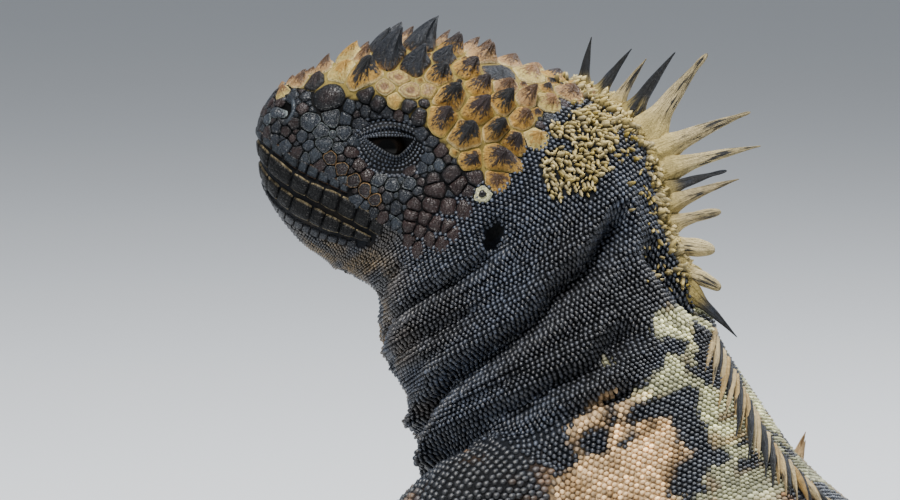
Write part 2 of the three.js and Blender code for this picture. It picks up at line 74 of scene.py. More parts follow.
MM = 0.001  # metres in a millimetre
SEED = 20
SKIN_INSET = 0.45  # how far the skin lies under the solids' surface, in mm
FLOOR_GAP = 0.05  # lowest height of anything, in mm
BAKE_PATCH = 0.0015  # half the size of one scale's patch on the OFBake map

Array = np.ndarray
Colour = tuple[float, float, float, float]


class Tint(Enum):
    """Colours of the hide and its horny parts, as linear red, green and blue."""

    JET = (0.0035, 0.0038, 0.0045)
    BLACK = (0.0085, 0.0090, 0.0110)
    BLUE_BLACK = (0.0130, 0.0160, 0.0230)
    SLATE = (0.0330, 0.0350, 0.0380)
    BLUE_GREY = (0.0260, 0.0330, 0.0430)
    PALE_GREY = (0.1500, 0.1750, 0.1800)
    PURPLE_BROWN = (0.0240, 0.0140, 0.0135)
    BROWN = (0.0800, 0.0380, 0.0150)
    RUST = (0.2200, 0.1150, 0.0450)
    GOLD_BROWN = (0.0600, 0.0400, 0.0160)
    OCHRE = (0.4000, 0.2250, 0.0420)
    TAN = (0.3700, 0.2200, 0.0900)
    PEACH = (0.7200, 0.5000, 0.2750)
    YELLOW = (0.5000, 0.3800, 0.1150)
    CREAM = (0.6800, 0.5600, 0.2900)
    BONE = (0.5600, 0.4500, 0.2500)
    GREEN_CREAM = (0.6200, 0.6100, 0.3700)

    @property
    def rgb(self) -> Array:
        """The colour as an array."""
        return np.array(self.value)


def smooth_step(value: Array, low: float, high: float) -> Array:
    """A smooth ramp from 0 at low to 1 at high.

    Args:
        value: The values to ramp.
        low: Where the ramp leaves 0.
        high: Where it reaches 1.

    Returns:
        The ramp's height at each value.
    """
    t = np.clip((np.asarray(value, float) - low) / (high - low), 0, 1)
    return t * t * (3 - 2 * t)


def unit(vectors: Array) -> Array:
    """The vectors with a length of one."""
    return vectors / np.maximum(np.linalg.norm(vectors, axis=-1, keepdims=True), 1e-12)


def mix(a: Array, b: Array, share: Array) -> Array:
    """Colours or points between a and b, by a share for each."""
    share = np.asarray(share, float)[..., None]
    return a * (1 - share) + b * share


def from_midline(turn: Array) -> Array:
    """Degrees from the back's middle line, from 0 to 180 on either side."""
    return np.abs((np.asarray(turn, float) + 180) % 360 - 180)


def axes_of(pitch: Array, yaw: Array) -> tuple[Array, Array, Array]:
    """Forward, left and up of sections that are pitched up and turned left.

    Args:
        pitch: Degrees upwards.
        yaw: Degrees to the left.

    Returns:
        Three arrays of unit vectors.
    """
    p, y = np.radians(pitch), np.radians(yaw)
    nil = np.zeros_like(p)
    forward = np.stack([np.cos(p) * np.cos(y), np.cos(p) * np.sin(y), np.sin(p)], -1)
    left = np.stack([-np.sin(y), np.cos(y), nil], -1)
    up = np.stack([-np.sin(p) * np.cos(y), -np.sin(p) * np.sin(y), np.cos(p)], -1)
    return forward, left, up


def lattice_noise(points: Array, size: float, seed: int) -> Array:
    """Smooth noise from -1 to 1, the same at each run.

    Args:
        points: Places, one a row, of any number of columns up to three.
        size: The width of one blotch.
        seed: Which noise.

    Returns:
        One value for each place.
    """
    points = np.asarray(points, float)
    if points.shape[-1] < 3:
        points = np.concatenate([points, np.zeros(points.shape[:-1] + (3 - points.shape[-1],))], -1)
    q = points / size
    cell = np.floor(q).astype(np.int64)
    part = q - cell
    part = part * part * (3 - 2 * part)
    total = np.zeros(points.shape[:-1])
    for corner in range(8):
        step = np.array([corner & 1, (corner >> 1) & 1, (corner >> 2) & 1])
        key = ((cell + step) * np.array([73856093, 19349663, 83492791])).sum(-1) + seed * 2654435761
        key = (key ^ (key >> 13)) * 1274126177 & 0x7FFFFFFF
        key = ((key ^ (key >> 16)) * 668265263) & 0x7FFFFFFF
        share = np.prod(np.where(step == 1, part, 1 - part), axis=-1)
        total += share * (key / 0x3FFFFFFF - 1)
    return total


@dataclass(frozen=True)
class HeadFrame:
    """The head's own frame, with its origin between the eyes."""

    origin: tuple[float, float, float] = (269.3, 20.7, 190.0)
    pitch: float = 25.0
    yaw: float = 30.0

    def axes(self) -> tuple[Array, Array, Array]:
        """Forward, left and up."""
        return axes_of(np.array(self.pitch), np.array(self.yaw))

    def point(self, along: Array, up: Array, out: Array) -> Array:
        """Points of the head's frame in the row frame.

        Args:
            along: Millimetres towards the snout.
            up: Millimetres up.
            out: Millimetres to the left.

        Returns:
            One point a row.
        """
        forward, left, upward = self.axes()
        along, up, out = (np.asarray(v, float)[..., None] for v in (along, up, out))
        return np.array(self.origin) + along * forward + up * upward + out * left

    def coordinates(self, points: Array) -> tuple[Array, Array, Array]:
        """Places in the head's frame.

        Args:
            points: Points of the row frame, one a row.

        Returns:
            Along, up and out of each.
        """
        forward, left, upward = self.axes()
        d = points - np.array(self.origin)
        return d @ forward, d @ upward, d @ left


HEAD = HeadFrame()


@dataclass(frozen=True)
class Swelling:
    """A swelling or hollow of the head's sides: its place, reach, and height."""

    along: float
    up: float
    reach: float
    tall: float
    rise: float


@dataclass(frozen=True)
class Fold:
    """A crease of the skin along a line of places (at, turn)."""

    depth: float
    half_width: float
    line: tuple[tuple[float, float], ...]


def tail_section(back: float, wide: float, up: float, down: float) -> list[float]:
    """One row of the section table on the tail, which sways from side to side.

    Args:
        back: Distance behind the pelvis.
        wide: Half width.
        up: Half height over the centre.
        down: Half height under it.

    Returns:
        x, y, z, pitch, yaw, wide, up, down, crown and keel.
    """
    sway, wave, settle = -30.0, 330.0, 0.5
    turn = math.pi * back / wave
    yaw = math.degrees(math.atan(-sway * math.pi * math.sin(turn) / wave))
    return [-back, sway * (1 - math.cos(turn)), down - settle, 0, yaw, wide, up, down, 1.6, 2.0]


def trunk_section(
    x: float, y: float, z: float, pitch: float, yaw: float, wide: float, up: float, down: float, crown: float = 1.9
) -> list[float]:
    """One row of the section table on the trunk or neck, its centre given in the row frame."""
    return [x, y, z, pitch, yaw, wide, up, down, crown, 2.3]


def head_section(
    along: float, rise: float, tilt: float, wide: float, up: float, down: float, crown: float = 2.0
) -> list[float]:
    """One row of the section table on the head, its centre given in the head's frame."""
    x, y, z = HEAD.point(along, rise, 0.0)
    return [x, y, z, HEAD.pitch + tilt, HEAD.yaw, wide, up, down, crown, 2.2]


class BodyForm:
    """The form of tail, trunk, neck and head, as one skin over a table of sections."""

    fold_radius = 42.0  # half width of the neck, which turns an angle into a length
    pelvis_row = 7

    def __init__(self) -> None:
        """Works out each section's place along the body."""
        self.table = np.array(
            [
                tail_section(520, 1.2, 2.2, 2),
                tail_section(480, 3.2, 5, 4.2),
                tail_section(400, 6.2, 10.5, 7.8),
                tail_section(300, 9.2, 14.5, 11),
                tail_section(190, 13, 18, 14.5),
                tail_section(100, 17.5, 21, 18.5),
                tail_section(45, 25, 25, 24),
                trunk_section(0, 0, 34, 0, 0, 38, 29, 34.5),
                trunk_section(50, 0, 36, 1, 0, 49, 33, 37.5),
                trunk_section(101, 0, 40.3, 11, 0, 56, 35, 43),
                trunk_section(144.3, 0, 52.2, 25, 0, 56, 38, 43),
                trunk_section(183, 0, 74.8, 42, 1, 51, 41, 44),
                trunk_section(204.2, 0, 96, 54, 3, 46, 44, 46),
                trunk_section(220.7, 0.9, 121, 64, 8, 41, 44.5, 47, 1.8),
                trunk_section(232.7, 3.3, 143.4, 61, 14, 36, 46, 44, 1.65),
                trunk_section(240, 5.8, 164, 56, 21, 33, 49, 45, 1.6),
                head_section(-24.2, -0.3, 25.7, 29.5, 42.5, 40, 1.8),
                head_section(-11, -1.5, 16, 27.5, 38.5, 36.5),
                head_section(1, -3, 7, 23.5, 35.5, 33.5),
                head_section(11, -4, 0, 20, 30.5, 31.2),
                head_section(20, -6, 0, 17, 25, 24.8),
                head_section(27, -7.5, 0, 14, 18.5, 17.9),
                head_section(32, -7, 0, 10.6, 12.5, 10.5),
                head_section(35, -6.5, 0, 6, 7, 5.4),
                head_section(36, -6.4, 0, 1.6, 1.8, 1.4),
            ]
        )
        steps = np.linalg.norm(np.diff(self.table[:, :3], axis=0), axis=1)
        place = np.concatenate([[0], np.cumsum(steps)])
        self.place = place - place[self.pelvis_row]
        self.tail_end = float(self.place[0])
        self.snout_end = float(self.place[-1])
        self.swellings = (
            Swelling(7, 14, 12, 4.5, 2.4),  # brow
            Swelling(17, 3, 6, 6, -1.6),  # hollow between eye and nostril
            Swelling(30, -1.5, 4.5, 4.5, 1.6),  # nostril
            Swelling(0.5, 0.5, 10, 8, -3.4),  # eye socket
            Swelling(-22, -16, 12, 11, 3.2),  # jowl
            Swelling(12, -18.5, 20, 2.4, 1),  # upper lip
            Swelling(10, -26.5, 17, 2.6, 1),  # lower lip
            Swelling(-43, -14, 6, 9, -2.2),  # hollow behind the ear
            Swelling(-30, -42, 14, 10, 3.5),  # throat pouch
        )
        self.hollows = (
            Swelling(-36.5, -8.5, 4.2, 6.0, -5.0),  # ear
            Swelling(30.4, -2.2, 1.6, 2.6, -3.4),  # nostril's opening
            Swelling(0.2, 0.8, 8.5, 5.6, -4.6),  # room for the eyeball
        )
        self.folds = (
            Fold(4.2, 8.0, ((309, 205), (307, 180), (304, 163), (299, 148))),
            Fold(2.6, 2.4, ((293, 146), (296, 132), (297, 120), (296, 106), (296, 98), (297, 86))),
            Fold(1.6, 3.6, ((256, 222), (254, 200), (252, 174))),
            Fold(4.6, 3.2, ((252, 163), (253, 156), (255, 140))),
            Fold(3.2, 15.0, ((291, 166), (276, 162), (263, 160))),
            Fold(
                6.0, 3.0,
                ((255, 138), (263, 124), (267, 110), (269, 100), (271, 85), (274, 68), (279, 48), (285, 36)),
            ),
            Fold(4.2, 3.2, ((249, 126), (249, 102), (251, 92), (252, 74), (254, 56), (258, 42))),
            Fold(3.2, 2.6, ((246, 144), (245, 110), (243, 96), (243, 82), (243, 62), (241, 48))),
            Fold(1.8, 2.4, ((233, 140), (232, 118), (230, 100), (229, 84), (227, 66))),
            Fold(1.5, 2.2, ((282, 142), (284, 126), (285, 112), (284, 100))),
            Fold(1.3, 1.8, ((305, 150), (308, 136), (310, 124))),
            Fold(4.0, 3.0, ((274, 22), (267, 16), (260, 10), (256, 4))),
            Fold(1.6, 2.6, ((216, 132), (215, 112), (213, 96))),
            Fold(1.4, 2.4, ((100, 84), (112, 94), (126, 98))),
        )

    def sections_at(self, at: Array) -> Array:
        """The section table's values at places along the body, on smooth curves through its rows.

        Args:
            at: Places along the body.

        Returns:
            Ten values for each place, in the table's order.
        """
        at = np.asarray(at, float)
        last = len(self.place) - 1
        i = np.clip(np.searchsorted(self.place, at, side="right") - 1, 0, last - 1)

        def slope(k: Array) -> Array:
            """The curve's slope at row k."""
            a, b = np.maximum(k - 1, 0), np.minimum(k + 1, last)
            return (self.table[b] - self.table[a]) / (self.place[b] - self.place[a])[..., None]

        h = (self.place[i + 1] - self.place[i])[..., None]
        t = np.clip((at - self.place[i])[..., None] / h, 0, 1)
        t2, t3 = t * t, t * t * t
        return (
            (2 * t3 - 3 * t2 + 1) * self.table[i]
            + (t3 - 2 * t2 + t) * h * slope(i)
            + (3 * t2 - 2 * t3) * self.table[i + 1]
            + (t3 - t2) * h * slope(i + 1)
        )

    def relief(self, points: Array, swellings: tuple[Swelling, ...]) -> Array:
        """How far the head's sides stand out.

        Args:
            points: Points of the row frame.
            swellings: What swells or sinks there.

        Returns:
            The height at each point, in mm.
        """
        along, up, out = HEAD.coordinates(points)
        side = smooth_step(np.abs(out), 3, 10)
        total = np.zeros(len(points))
        for s in swellings:
            total += s.rise * np.exp(-(((along - s.along) / s.reach) ** 2) - ((up - s.up) / s.tall) ** 2)
        return total * side

    def fold_relief(self, at: Array, turn: Array) -> Array:
        """How far the skin sinks into its folds and stands up between them.

        Args:
            at: Places along the body.
            turn: Angles in degrees.

        Returns:
            The height for each place, in mm.
        """
        at = np.asarray(at, float)
        angle = from_midline(turn)
        place = np.stack([at, np.radians(angle) * self.fold_radius], -1)
        place = place + 1.1 * np.stack([lattice_noise(place, 9, 3), lattice_noise(place, 9, 4)], -1)
        total = np.zeros(len(at))
        for fold in self.folds:
            line = np.array(fold.line, float)
            line[:, 1] = np.radians(line[:, 1]) * self.fold_radius
            near = np.full(len(at), 1e9)
            for a, b in zip(line[:-1], line[1:]):
                ab = b - a
                t = np.clip(((place - a) @ ab) / (ab @ ab), 0, 1)
                near = np.minimum(near, np.linalg.norm(place - a - t[:, None] * ab, axis=1))
            q = near / fold.half_width
            total -= fold.depth * np.exp(-q * q)
            total += 0.32 * fold.depth * np.exp(-((q - 2.1) ** 2))
        neck = smooth_step(at, 236, 250) * (1 - smooth_step(at, 296, 310)) * smooth_step(angle, 40, 60)
        return total + 0.35 * neck * np.sin(2 * np.pi * at / 6.2 + 1.5 * lattice_noise(place, 18, 5))

    def surface(self, at: Array, turn: Array, grow: float = 0.0, folded: bool = True) -> tuple[Array, Array]:
        """Points of the skin.

        Args:
            at: Places along the body.
            turn: Angles in degrees.
            grow: How much larger the sections are, in mm.
            folded: Whether the skin's folds and hollows are in it.

        Returns:
            The points and their rough outward directions.
        """
        at, turn = np.broadcast_arrays(np.asarray(at, float), np.asarray(turn, float))
        v = self.sections_at(at)
        _, left, up = axes_of(v[:, 3], v[:, 4])
        sin, cos = np.sin(np.radians(turn)), np.cos(np.radians(turn))
        high = cos >= 0
        power = 2 / np.where(high, v[:, 8], v[:, 9])
        tall = np.where(high, v[:, 6], v[:, 7]) + grow
        wide = v[:, 5] + grow
        out = np.sign(sin) * np.abs(sin) ** power * wide
        rise = np.sign(cos) * np.abs(cos) ** power * tall
        points = v[:, :3] + left * out[:, None] + up * rise[:, None]
        normals = unit(left * (sin / np.maximum(wide, 0.5))[:, None] + up * (cos / np.maximum(tall, 0.5))[:, None])
        lift = self.relief(points, self.swellings)
        if folded:
            lift = lift + self.relief(points, self.hollows) + self.fold_relief(at, turn)
        points = points + normals * lift[:, None]
        points[:, 2] = np.maximum(points[:, 2], -grow if grow < 0 else 0.0)
        return points, normals


FORM = BodyForm()


@dataclass(frozen=True)
class Limb:
    """A limb: its path with half widths and thicknesses, its heading, its toes and its step ahead."""

    pair: str
    side: str
    path: tuple[tuple[float, float, float, float, float], ...]
    heading: float
    toes: tuple[tuple[float, float, float], ...]
    shift: float
    index: int

    @property
    def sign(self) -> int:
        """1 on the left, -1 on the right."""
        return 1 if self.side == "left" else -1

    def stations(self) -> Array:
        """The path's rows, set ahead by the step and mirrored for the right.

        Returns:
            x, y, z, half width and half thickness of each row.
        """
        rows = np.array(self.path, float)
        rows[:, 0] += self.shift * np.arange(len(rows)) / (len(rows) - 1)
        rows[:, 1] *= self.sign
        return rows

    def centre(self, t: Array) -> Array:
        """Points of the path's smooth curve.

        Args:
            t: From 0 inside the body to 1 at the knuckles.

        Returns:
            One point a row.
        """
        p = self.stations()[:, :3]
        p = np.concatenate([[2 * p[0] - p[1]], p, [2 * p[-1] - p[-2]]])
        place = np.clip(np.asarray(t, float), 0, 1) * (len(p) - 3)
        i = np.minimum(place.astype(int), len(p) - 4)
        w = (place - i)[:, None]
        p0, p1, p2, p3 = p[i], p[i + 1], p[i + 2], p[i + 3]

        def gap(a: Array, b: Array) -> Array:
            """The curve's step between two points."""
            return np.sqrt(np.linalg.norm(a - b, axis=1))[:, None]

        d0, d1, d2 = gap(p0, p1), gap(p1, p2), gap(p2, p3)
        t1 = ((p1 - p0) / d0 - (p2 - p0) / (d0 + d1) + (p2 - p1) / d1) * d1
        t2 = ((p2 - p1) / d1 - (p3 - p1) / (d1 + d2) + (p3 - p2) / d2) * d1
        return p1 + t1 * w + (3 * (p2 - p1) - 2 * t1 - t2) * w**2 + (2 * (p1 - p2) + t1 + t2) * w**3

    def rings(self, t: Array, sides: int, grow: float) -> Array:
        """Rings of points round the path, kept from twisting from its outer end inwards.

        Args:
            t: Places along the path, rising.
            sides: Points in a ring.
            grow: How much larger the rings are.

        Returns:
            An array of rings by sides by 3.
        """
        t = np.asarray(t, float)
        step = 1e-3
        tangent = unit(self.centre(np.minimum(t + step, 1)) - self.centre(np.maximum(t - step, 0)))
        facing = math.radians(self.heading) * self.sign
        across = np.array([-math.sin(facing), math.cos(facing), 0])
        acrosses = np.zeros((len(t), 3))
        for k in range(len(t) - 1, -1, -1):
            across = unit(across - tangent[k] * (across @ tangent[k]))
            acrosses[k] = across
        thick = np.cross(tangent, acrosses)
        rows = self.stations()
        place = np.clip(t, 0, 1) * (len(rows) - 1)
        size = [np.interp(place, np.arange(len(rows)), rows[:, key]) + grow for key in (3, 4)]
        turn = 2 * np.pi * np.arange(sides) / sides
        ring = self.centre(t)[:, None] + acrosses[:, None] * (np.cos(turn)[None] * size[0][:, None])[..., None]
        ring = ring + thick[:, None] * (np.sin(turn)[None] * size[1][:, None])[..., None]
        ring[..., 2] = np.maximum(ring[..., 2], FLOOR_GAP)
        return ring

    def toe_axes(self, number: int) -> tuple[Array, Array, float]:
        """Where a toe lies on the floor.

        Args:
            number: Which toe, from 0.

        Returns:
            Its root, its direction and its length.
        """
        spread, long, offset = self.toes[number]
        turn = self.sign * math.radians(self.heading + spread)
        along = np.array([math.cos(turn), math.sin(turn), 0])
        facing = self.sign * math.radians(self.heading)
        across = np.array([-math.sin(facing), math.cos(facing), 0]) * self.sign
        knuckle = self.stations()[-1, :3] * [1, 1, 0]
        return knuckle + across * offset - along * 4, along, long + 4

    def rod(self, number: int, stations: tuple[tuple[float, float, float], ...], steps: int, sides: int) -> Array:
        """Upright rings along a toe, through stations that each say how far, how high and how wide.

        Args:
            number: Which toe, from 0.
            stations: Distance from the root, height of the centre and radius.
            steps: How many rings.
            sides: Points in a ring.

        Returns:
            An array of rings by sides by 3.
        """
        root, along, _ = self.toe_axes(number)
        across = np.array([-along[1], along[0], 0])
        rows = np.array(stations, float)
        place = np.linspace(0, len(rows) - 1, steps)
        far, high, radius = (smooth_through(rows[:, k], place) for k in range(3))
        turn = 2 * np.pi * np.arange(sides) / sides
        ring = root + along * far[:, None, None] + across * (radius[:, None] * np.cos(turn))[..., None]
        ring[..., 2] = np.maximum(high[:, None] + radius[:, None] * np.sin(turn), FLOOR_GAP)
        return ring


def smooth_through(values: Array, place: Array) -> Array:
    """A smooth curve through evenly placed values.

    Args:
        values: The values at 0, 1, 2 and so on.
        place: Where to read the curve.

    Returns:
        One value for each place.
    """
    padded = np.concatenate([[2 * values[0] - values[1]], values, [2 * values[-1] - values[-2]]])
    i = np.minimum(place.astype(int), len(values) - 2)
    w = place - i
    a, b, c, d = padded[i], padded[i + 1], padded[i + 2], padded[i + 3]
    return b + 0.5 * w * (c - a + w * (2 * a - 5 * b + 4 * c - d + w * (3 * (b - c) + d - a)))


FORE_PATH = (
    (203, 20, 97, 18, 23),
    (222, 49, 91, 17, 20),
    (240, 80, 64, 12.5, 13.5),
    (246, 94, 35, 9.8, 10),
    (248, 99, 13, 8.5, 7),
    (260, 103, 5.6, 10, 6),
    (268, 105, 4, 9.5, 4.2),
)
HIND_PATH = (
    (10, 20, 38, 23, 24),
    (30, 52, 37, 20, 21),
    (47, 82, 32, 14.5, 15.5),
    (28, 102, 19, 10.5, 11),
    (5, 113, 9, 9, 8.2),
    (10, 127, 5.8, 10, 6.2),
    (21, 141, 4, 9.5, 4.2),
)
FORE_TOES = ((-40, 9, -7.5), (-20, 16, -4.4), (-2, 20, -0.6), (18, 19, 3.4), (44, 12, 7))
HIND_TOES = ((-36, 12, -7.5), (-19, 21, -4.2), (-4, 30, -0.4), (10, 36, 3.6), (40, 21, 7.2))
LIMBS = (
    Limb("fore", "left", FORE_PATH, 16, FORE_TOES, 0, 0),
    Limb("fore", "right", FORE_PATH, 16, FORE_TOES, 9, 1),
    Limb("hind", "left", HIND_PATH, 48, HIND_TOES, 0, 2),
    Limb("hind", "right", HIND_PATH, 48, HIND_TOES, -12, 3),
)


class Markings:
    """The animal's colours, as functions of the place on its body."""

    radius = 45.0  # half width of the trunk, which turns an angle into a length
    # Patches on the flank: centre (at, turn), half sizes, raggedness, colour and strength.
    patches = (
        ((215, 61), (20, 29), 0.4, Tint.PEACH, 1.0),
        ((196, 92), (9, 12), 0.8, Tint.TAN, 0.75),
        ((217, 17), (13, 12), 0.5, Tint.GREEN_CREAM, 0.95),
        ((254, 18), (5, 19), 0.7, Tint.GREEN_CREAM, 0.85),
        ((238, 30), (7, 11), 0.9, Tint.GREEN_CREAM, 0.55),
        ((190, 30), (16, 20), 0.9, Tint.GREEN_CREAM, 0.5),
        ((150, 44), (22, 18), 0.9, Tint.TAN, 0.5),
        ((84, 30), (26, 22), 0.9, Tint.GREEN_CREAM, 0.4),
        ((28, 46), (22, 18), 0.9, Tint.TAN, 0.4),
    )

    @classmethod
    def place(cls, at: Array, angle: Array) -> Array:
        """Places on the unrolled skin, in mm."""
        return np.stack([at, np.radians(angle) * cls.radius], -1)

    @classmethod
    def blot(
        cls, at: Array, angle: Array, middle: tuple[float, float], half: tuple[float, float], ragged: float
    ) -> Array:
        """A ragged patch.

        Args:
            at: Places along the body.
            angle: Degrees from the back's middle line, without a sign.
            middle: The patch's centre (at, turn).
            half: Its half sizes.
            ragged: How far noise moves its edge.

        Returns:
            1 inside the patch and 0 outside, softly.
        """
        place = cls.place(at, angle)
        far = np.sqrt(((at - middle[0]) / half[0]) ** 2 + ((angle - middle[1]) / half[1]) ** 2)
        far = far + ragged * (lattice_noise(place, 7, 11) + 0.6 * lattice_noise(place, 3, 12))
        return 1 - smooth_step(far, 0.85, 1.05)

    @classmethod
    def rods(cls, at: Array, angle: Array) -> Array:
        """Share of the pale crusted rods beside the nape's crest.

        Args:
            at: Places along the body.
            angle: Degrees from the back's middle line, without a sign.

        Returns:
            From 0 to 1 for each place.
        """
        patch = cls.blot(at, angle, (304.8, 40), (8.0, 21), 0.5)
        tuft = cls.blot(at, angle, (310.5, 24), (4, 7), 0.5)
        return np.maximum(patch, tuft)

    @classmethod
    def body(cls, at: Array, turn: Array) -> tuple[Array, Array]:
        """Colour of the body's hide and how crusted it is.

        Args:
            at: Places along the body.
            turn: Angles in degrees.

        Returns:
            Colours, and a share from 0, glossy, to 1, crusted.
        """
        angle = from_midline(turn)
        side = np.where((turn + 180) % 360 - 180 >= 0, 0.0, 700.0)
        place = cls.place(at + side, angle)
        wide = lattice_noise(place, 22, 21)
        fine = lattice_noise(place, 6, 22)
        colour = mix(Tint.BLACK.rgb, Tint.BLUE_BLACK.rgb, smooth_step(wide, -0.5, 0.5))
        back = smooth_step(at, 150, 215) * (1 - smooth_step(at, 225, 250))
        torso = smooth_step(at, -120, -20) * (1 - smooth_step(at, 226, 244))
        grey = torso * smooth_step(wide + 0.5 * fine, 0.0, 0.6) * (1 - 0.6 * back)
        colour = mix(colour, Tint.SLATE.rgb, 0.9 * grey)
        rust = torso * smooth_step(lattice_noise(place, 34, 23) + 0.45 * fine, 0.28, 0.6) * (angle < 120)
        rust = rust * (1 - smooth_step(at, 188, 200))
        colour = mix(colour, Tint.RUST.rgb * 0.7, rust * 0.75)
        belly = torso * smooth_step(angle, 118, 150)
        colour = mix(colour, Tint.SLATE.rgb * 1.6, belly * 0.7)
        throat = smooth_step(at, 250, 270) * (1 - smooth_step(at, 345, 360)) * smooth_step(angle, 112, 150)
        colour = mix(colour, Tint.GOLD_BROWN.rgb, throat * smooth_step(fine, -0.5, 0.6) * 0.75)
        tail = 1 - smooth_step(at, -200, -30)
        bands = 0.5 + 0.5 * np.sin(2 * np.pi * at / 46)
        colour = mix(colour, Tint.SLATE.rgb, tail * smooth_step(bands + 0.3 * fine, 0.55, 0.9) * 0.8)
        crust = np.zeros(len(at))
        for middle, half, ragged, tint, strength in cls.patches:
            share = cls.blot(at, angle, middle, half, ragged) * strength
            share = share * np.where(side > 0, 0.85, 1.0)
            tone = mix(tint.rgb, Tint.TAN.rgb * 0.6, 0.8 * smooth_step(lattice_noise(place, 4.5, 24), 0.1, 0.75))
            tone = tone * (1 + 0.25 * fine)[:, None]
            colour = mix(colour, tone, share)
            crust = np.maximum(crust, share)
        return np.clip(colour, 0.004, 0.9), crust

    @staticmethod
    def limb(t: Array, points: Array) -> tuple[Array, Array]:
        """Colour of a limb's hide and how crusted it is.

        Args:
            t: Places along the limb.
            points: Places in space.

        Returns:
            Colours, and a share from 0, glossy, to 1, crusted.
        """
        wide, fine = lattice_noise(points, 20, 31), lattice_noise(points, 6, 32)
        colour = mix(Tint.BLACK.rgb, Tint.BLUE_BLACK.rgb, smooth_step(wide, -0.4, 0.5))
        colour = mix(colour, Tint.SLATE.rgb, 0.8 * smooth_step(wide + 0.5 * fine, 0.1, 0.7))
        dust = smooth_step(fine + 0.5 * wide, 0.35, 0.8) * (1 - smooth_step(t, 0.4, 0.8))
        return mix(colour, Tint.RUST.rgb, 0.45 * dust), 0.4 * dust


def bake_place(region: Array | int, along: Array | float, turn: Array | float) -> Array:
    """Places on the OFBake map, an unwrap of the skin by the place along it and the angle round it.

    Args:
        region: -1 on the body, or the number of a limb.
        along: `at` on the body, or t on a limb, which runs on past 1 over the toes.
        turn: Angles in degrees.

    Returns:
        Two columns from 0 to 1.
    """
    round_share = ((np.asarray(turn, float) + 180) % 360) / 360
    body_u = 0.01 + 0.7 * (along - FORM.tail_end) / (FORM.snout_end - FORM.tail_end)
    limb_u = 0.74 + 0.25 * np.clip(along / 1.6, 0, 1)
    limb_v = 0.01 + 0.245 * np.maximum(region, 0) + 0.225 * round_share
    on_body = np.asarray(region) < 0
    return np.stack([np.where(on_body, body_u, limb_u), np.where(on_body, 0.01 + 0.98 * round_share, limb_v)], -1)


# Meshes from arrays


@dataclass
class MeshData:
    """A mesh in the making, in millimetres, with what its material reads at each vertex."""

    points: Array
    faces: Array
    tint: Array
    tip: Array
    rise: Array
    grain: Array
    bake: Array

    @staticmethod
    def joined(parts: "list[MeshData]") -> "MeshData":
        """Several meshes as one.

        Args:
            parts: The meshes.

        Returns:
            One mesh of all their points and faces.
        """
        starts = np.cumsum([0] + [len(p.points) for p in parts[:-1]])
        faces = np.concatenate([p.faces + start for p, start in zip(parts, starts)])
        read = (np.concatenate([getattr(p, key) for p in parts]) for key in ("tint", "tip", "rise", "grain", "bake"))
        return MeshData(np.concatenate([p.points for p in parts]), faces, *read)

    def to_object(self, name: str) -> bpy.types.Object:
        """The mesh as a Blender object at the origin, in metres.

        Args:
            name: The object's name.

        Returns:
            The object, smooth shaded.
        """
        mesh = bpy.data.meshes.new(name)
        count = len(self.faces)
        mesh.vertices.add(len(self.points))
        mesh.loops.add(3 * count)
        mesh.polygons.add(count)
        points = self.points * MM
        points[:, 2] = np.maximum(points[:, 2], FLOOR_GAP * MM)
        mesh.vertices.foreach_set("co", points.astype(np.float32).ravel())
        corners = self.faces.astype(np.int32).ravel()
        mesh.polygons.foreach_set("loop_start", np.arange(0, 3 * count, 3, dtype=np.int32))
        mesh.polygons.foreach_set("vertices", corners)
        mesh.update(calc_edges=True)
        mesh.validate()
        mesh.shade_smooth()
        paint(mesh, self.tint, self.tip, self.rise, self.grain)
        layer = mesh.uv_layers.new(name="OFBake")
        layer.data.foreach_set("uv", self.bake[corners].astype(np.float32).ravel())
        made = bpy.data.objects.new(name, mesh)
        bpy.context.scene.collection.objects.link(made)
        return made


def paint(mesh: bpy.types.Mesh, tint: Array, tip: Array, rise: Array, grain: Array) -> None:
    """Stores what the materials read at each vertex.

    Args:
        mesh: The mesh.
        tint: Colour of the base.
        tip: Colour of the tip.
        rise: From 0 at a scale's foot to 1 at its tip.
        grain: Coordinates that run with the horn's fibres.
    """
    opaque = np.ones((len(tint), 1))
    for name, kind, key, values in (
        ("tint", "FLOAT_COLOR", "color", np.hstack([tint, opaque])),
        ("tip", "FLOAT_COLOR", "color", np.hstack([tip, opaque])),
        ("rise", "FLOAT", "value", rise),
        ("grain", "FLOAT_VECTOR", "vector", grain),
    ):
        attribute = mesh.attributes.new(name, kind, "POINT")
        attribute.data.foreach_set(key, values.astype(np.float32).ravel())


def loft_faces(rings: int, sides: int, start: int = 0) -> Array:
    """Triangles of a skin over rings of points, closed with a centre point at each end.

    Args:
        rings: How many rings, each turning the same way.
        sides: Points in a ring.
        start: Index of the first point.

    Returns:
        Triangles. The two centre points follow the rings, the first ring's first.
    """
    i, j = np.meshgrid(np.arange(rings - 1), np.arange(sides), indexing="ij")
    a = (i * sides + j).ravel()
    b = (i * sides + (j + 1) % sides).ravel()
    side = np.concatenate([np.stack([a, b, b + sides], -1), np.stack([a, b + sides, a + sides], -1)])
    j = np.arange(sides)
    k = (j + 1) % sides
    low, high = rings * sides, rings * sides + 1
    base = (rings - 1) * sides
    caps = [np.stack([k, j, np.full(sides, low)], -1), np.stack([base + j, base + k, np.full(sides, high)], -1)]
    return np.concatenate([side, *caps]) + start


def tube_faces(rings: int, sides: int) -> Array:
    """Triangles of a tube over rings of points, whose last ring joins the first.

    Args:
        rings: How many rings.
        sides: Points in a ring.

    Returns:
        Triangles.
    """
    i, j = np.meshgrid(np.arange(rings), np.arange(sides), indexing="ij")
    after, beside = (i + 1) % rings, (j + 1) % sides
    corners = ((i, j), (i, beside), (after, beside), (after, j))
    a, b, c, d = ((row * sides + column).ravel() for row, column in corners)
    return np.concatenate([np.stack([a, b, c], -1), np.stack([a, c, d], -1)])


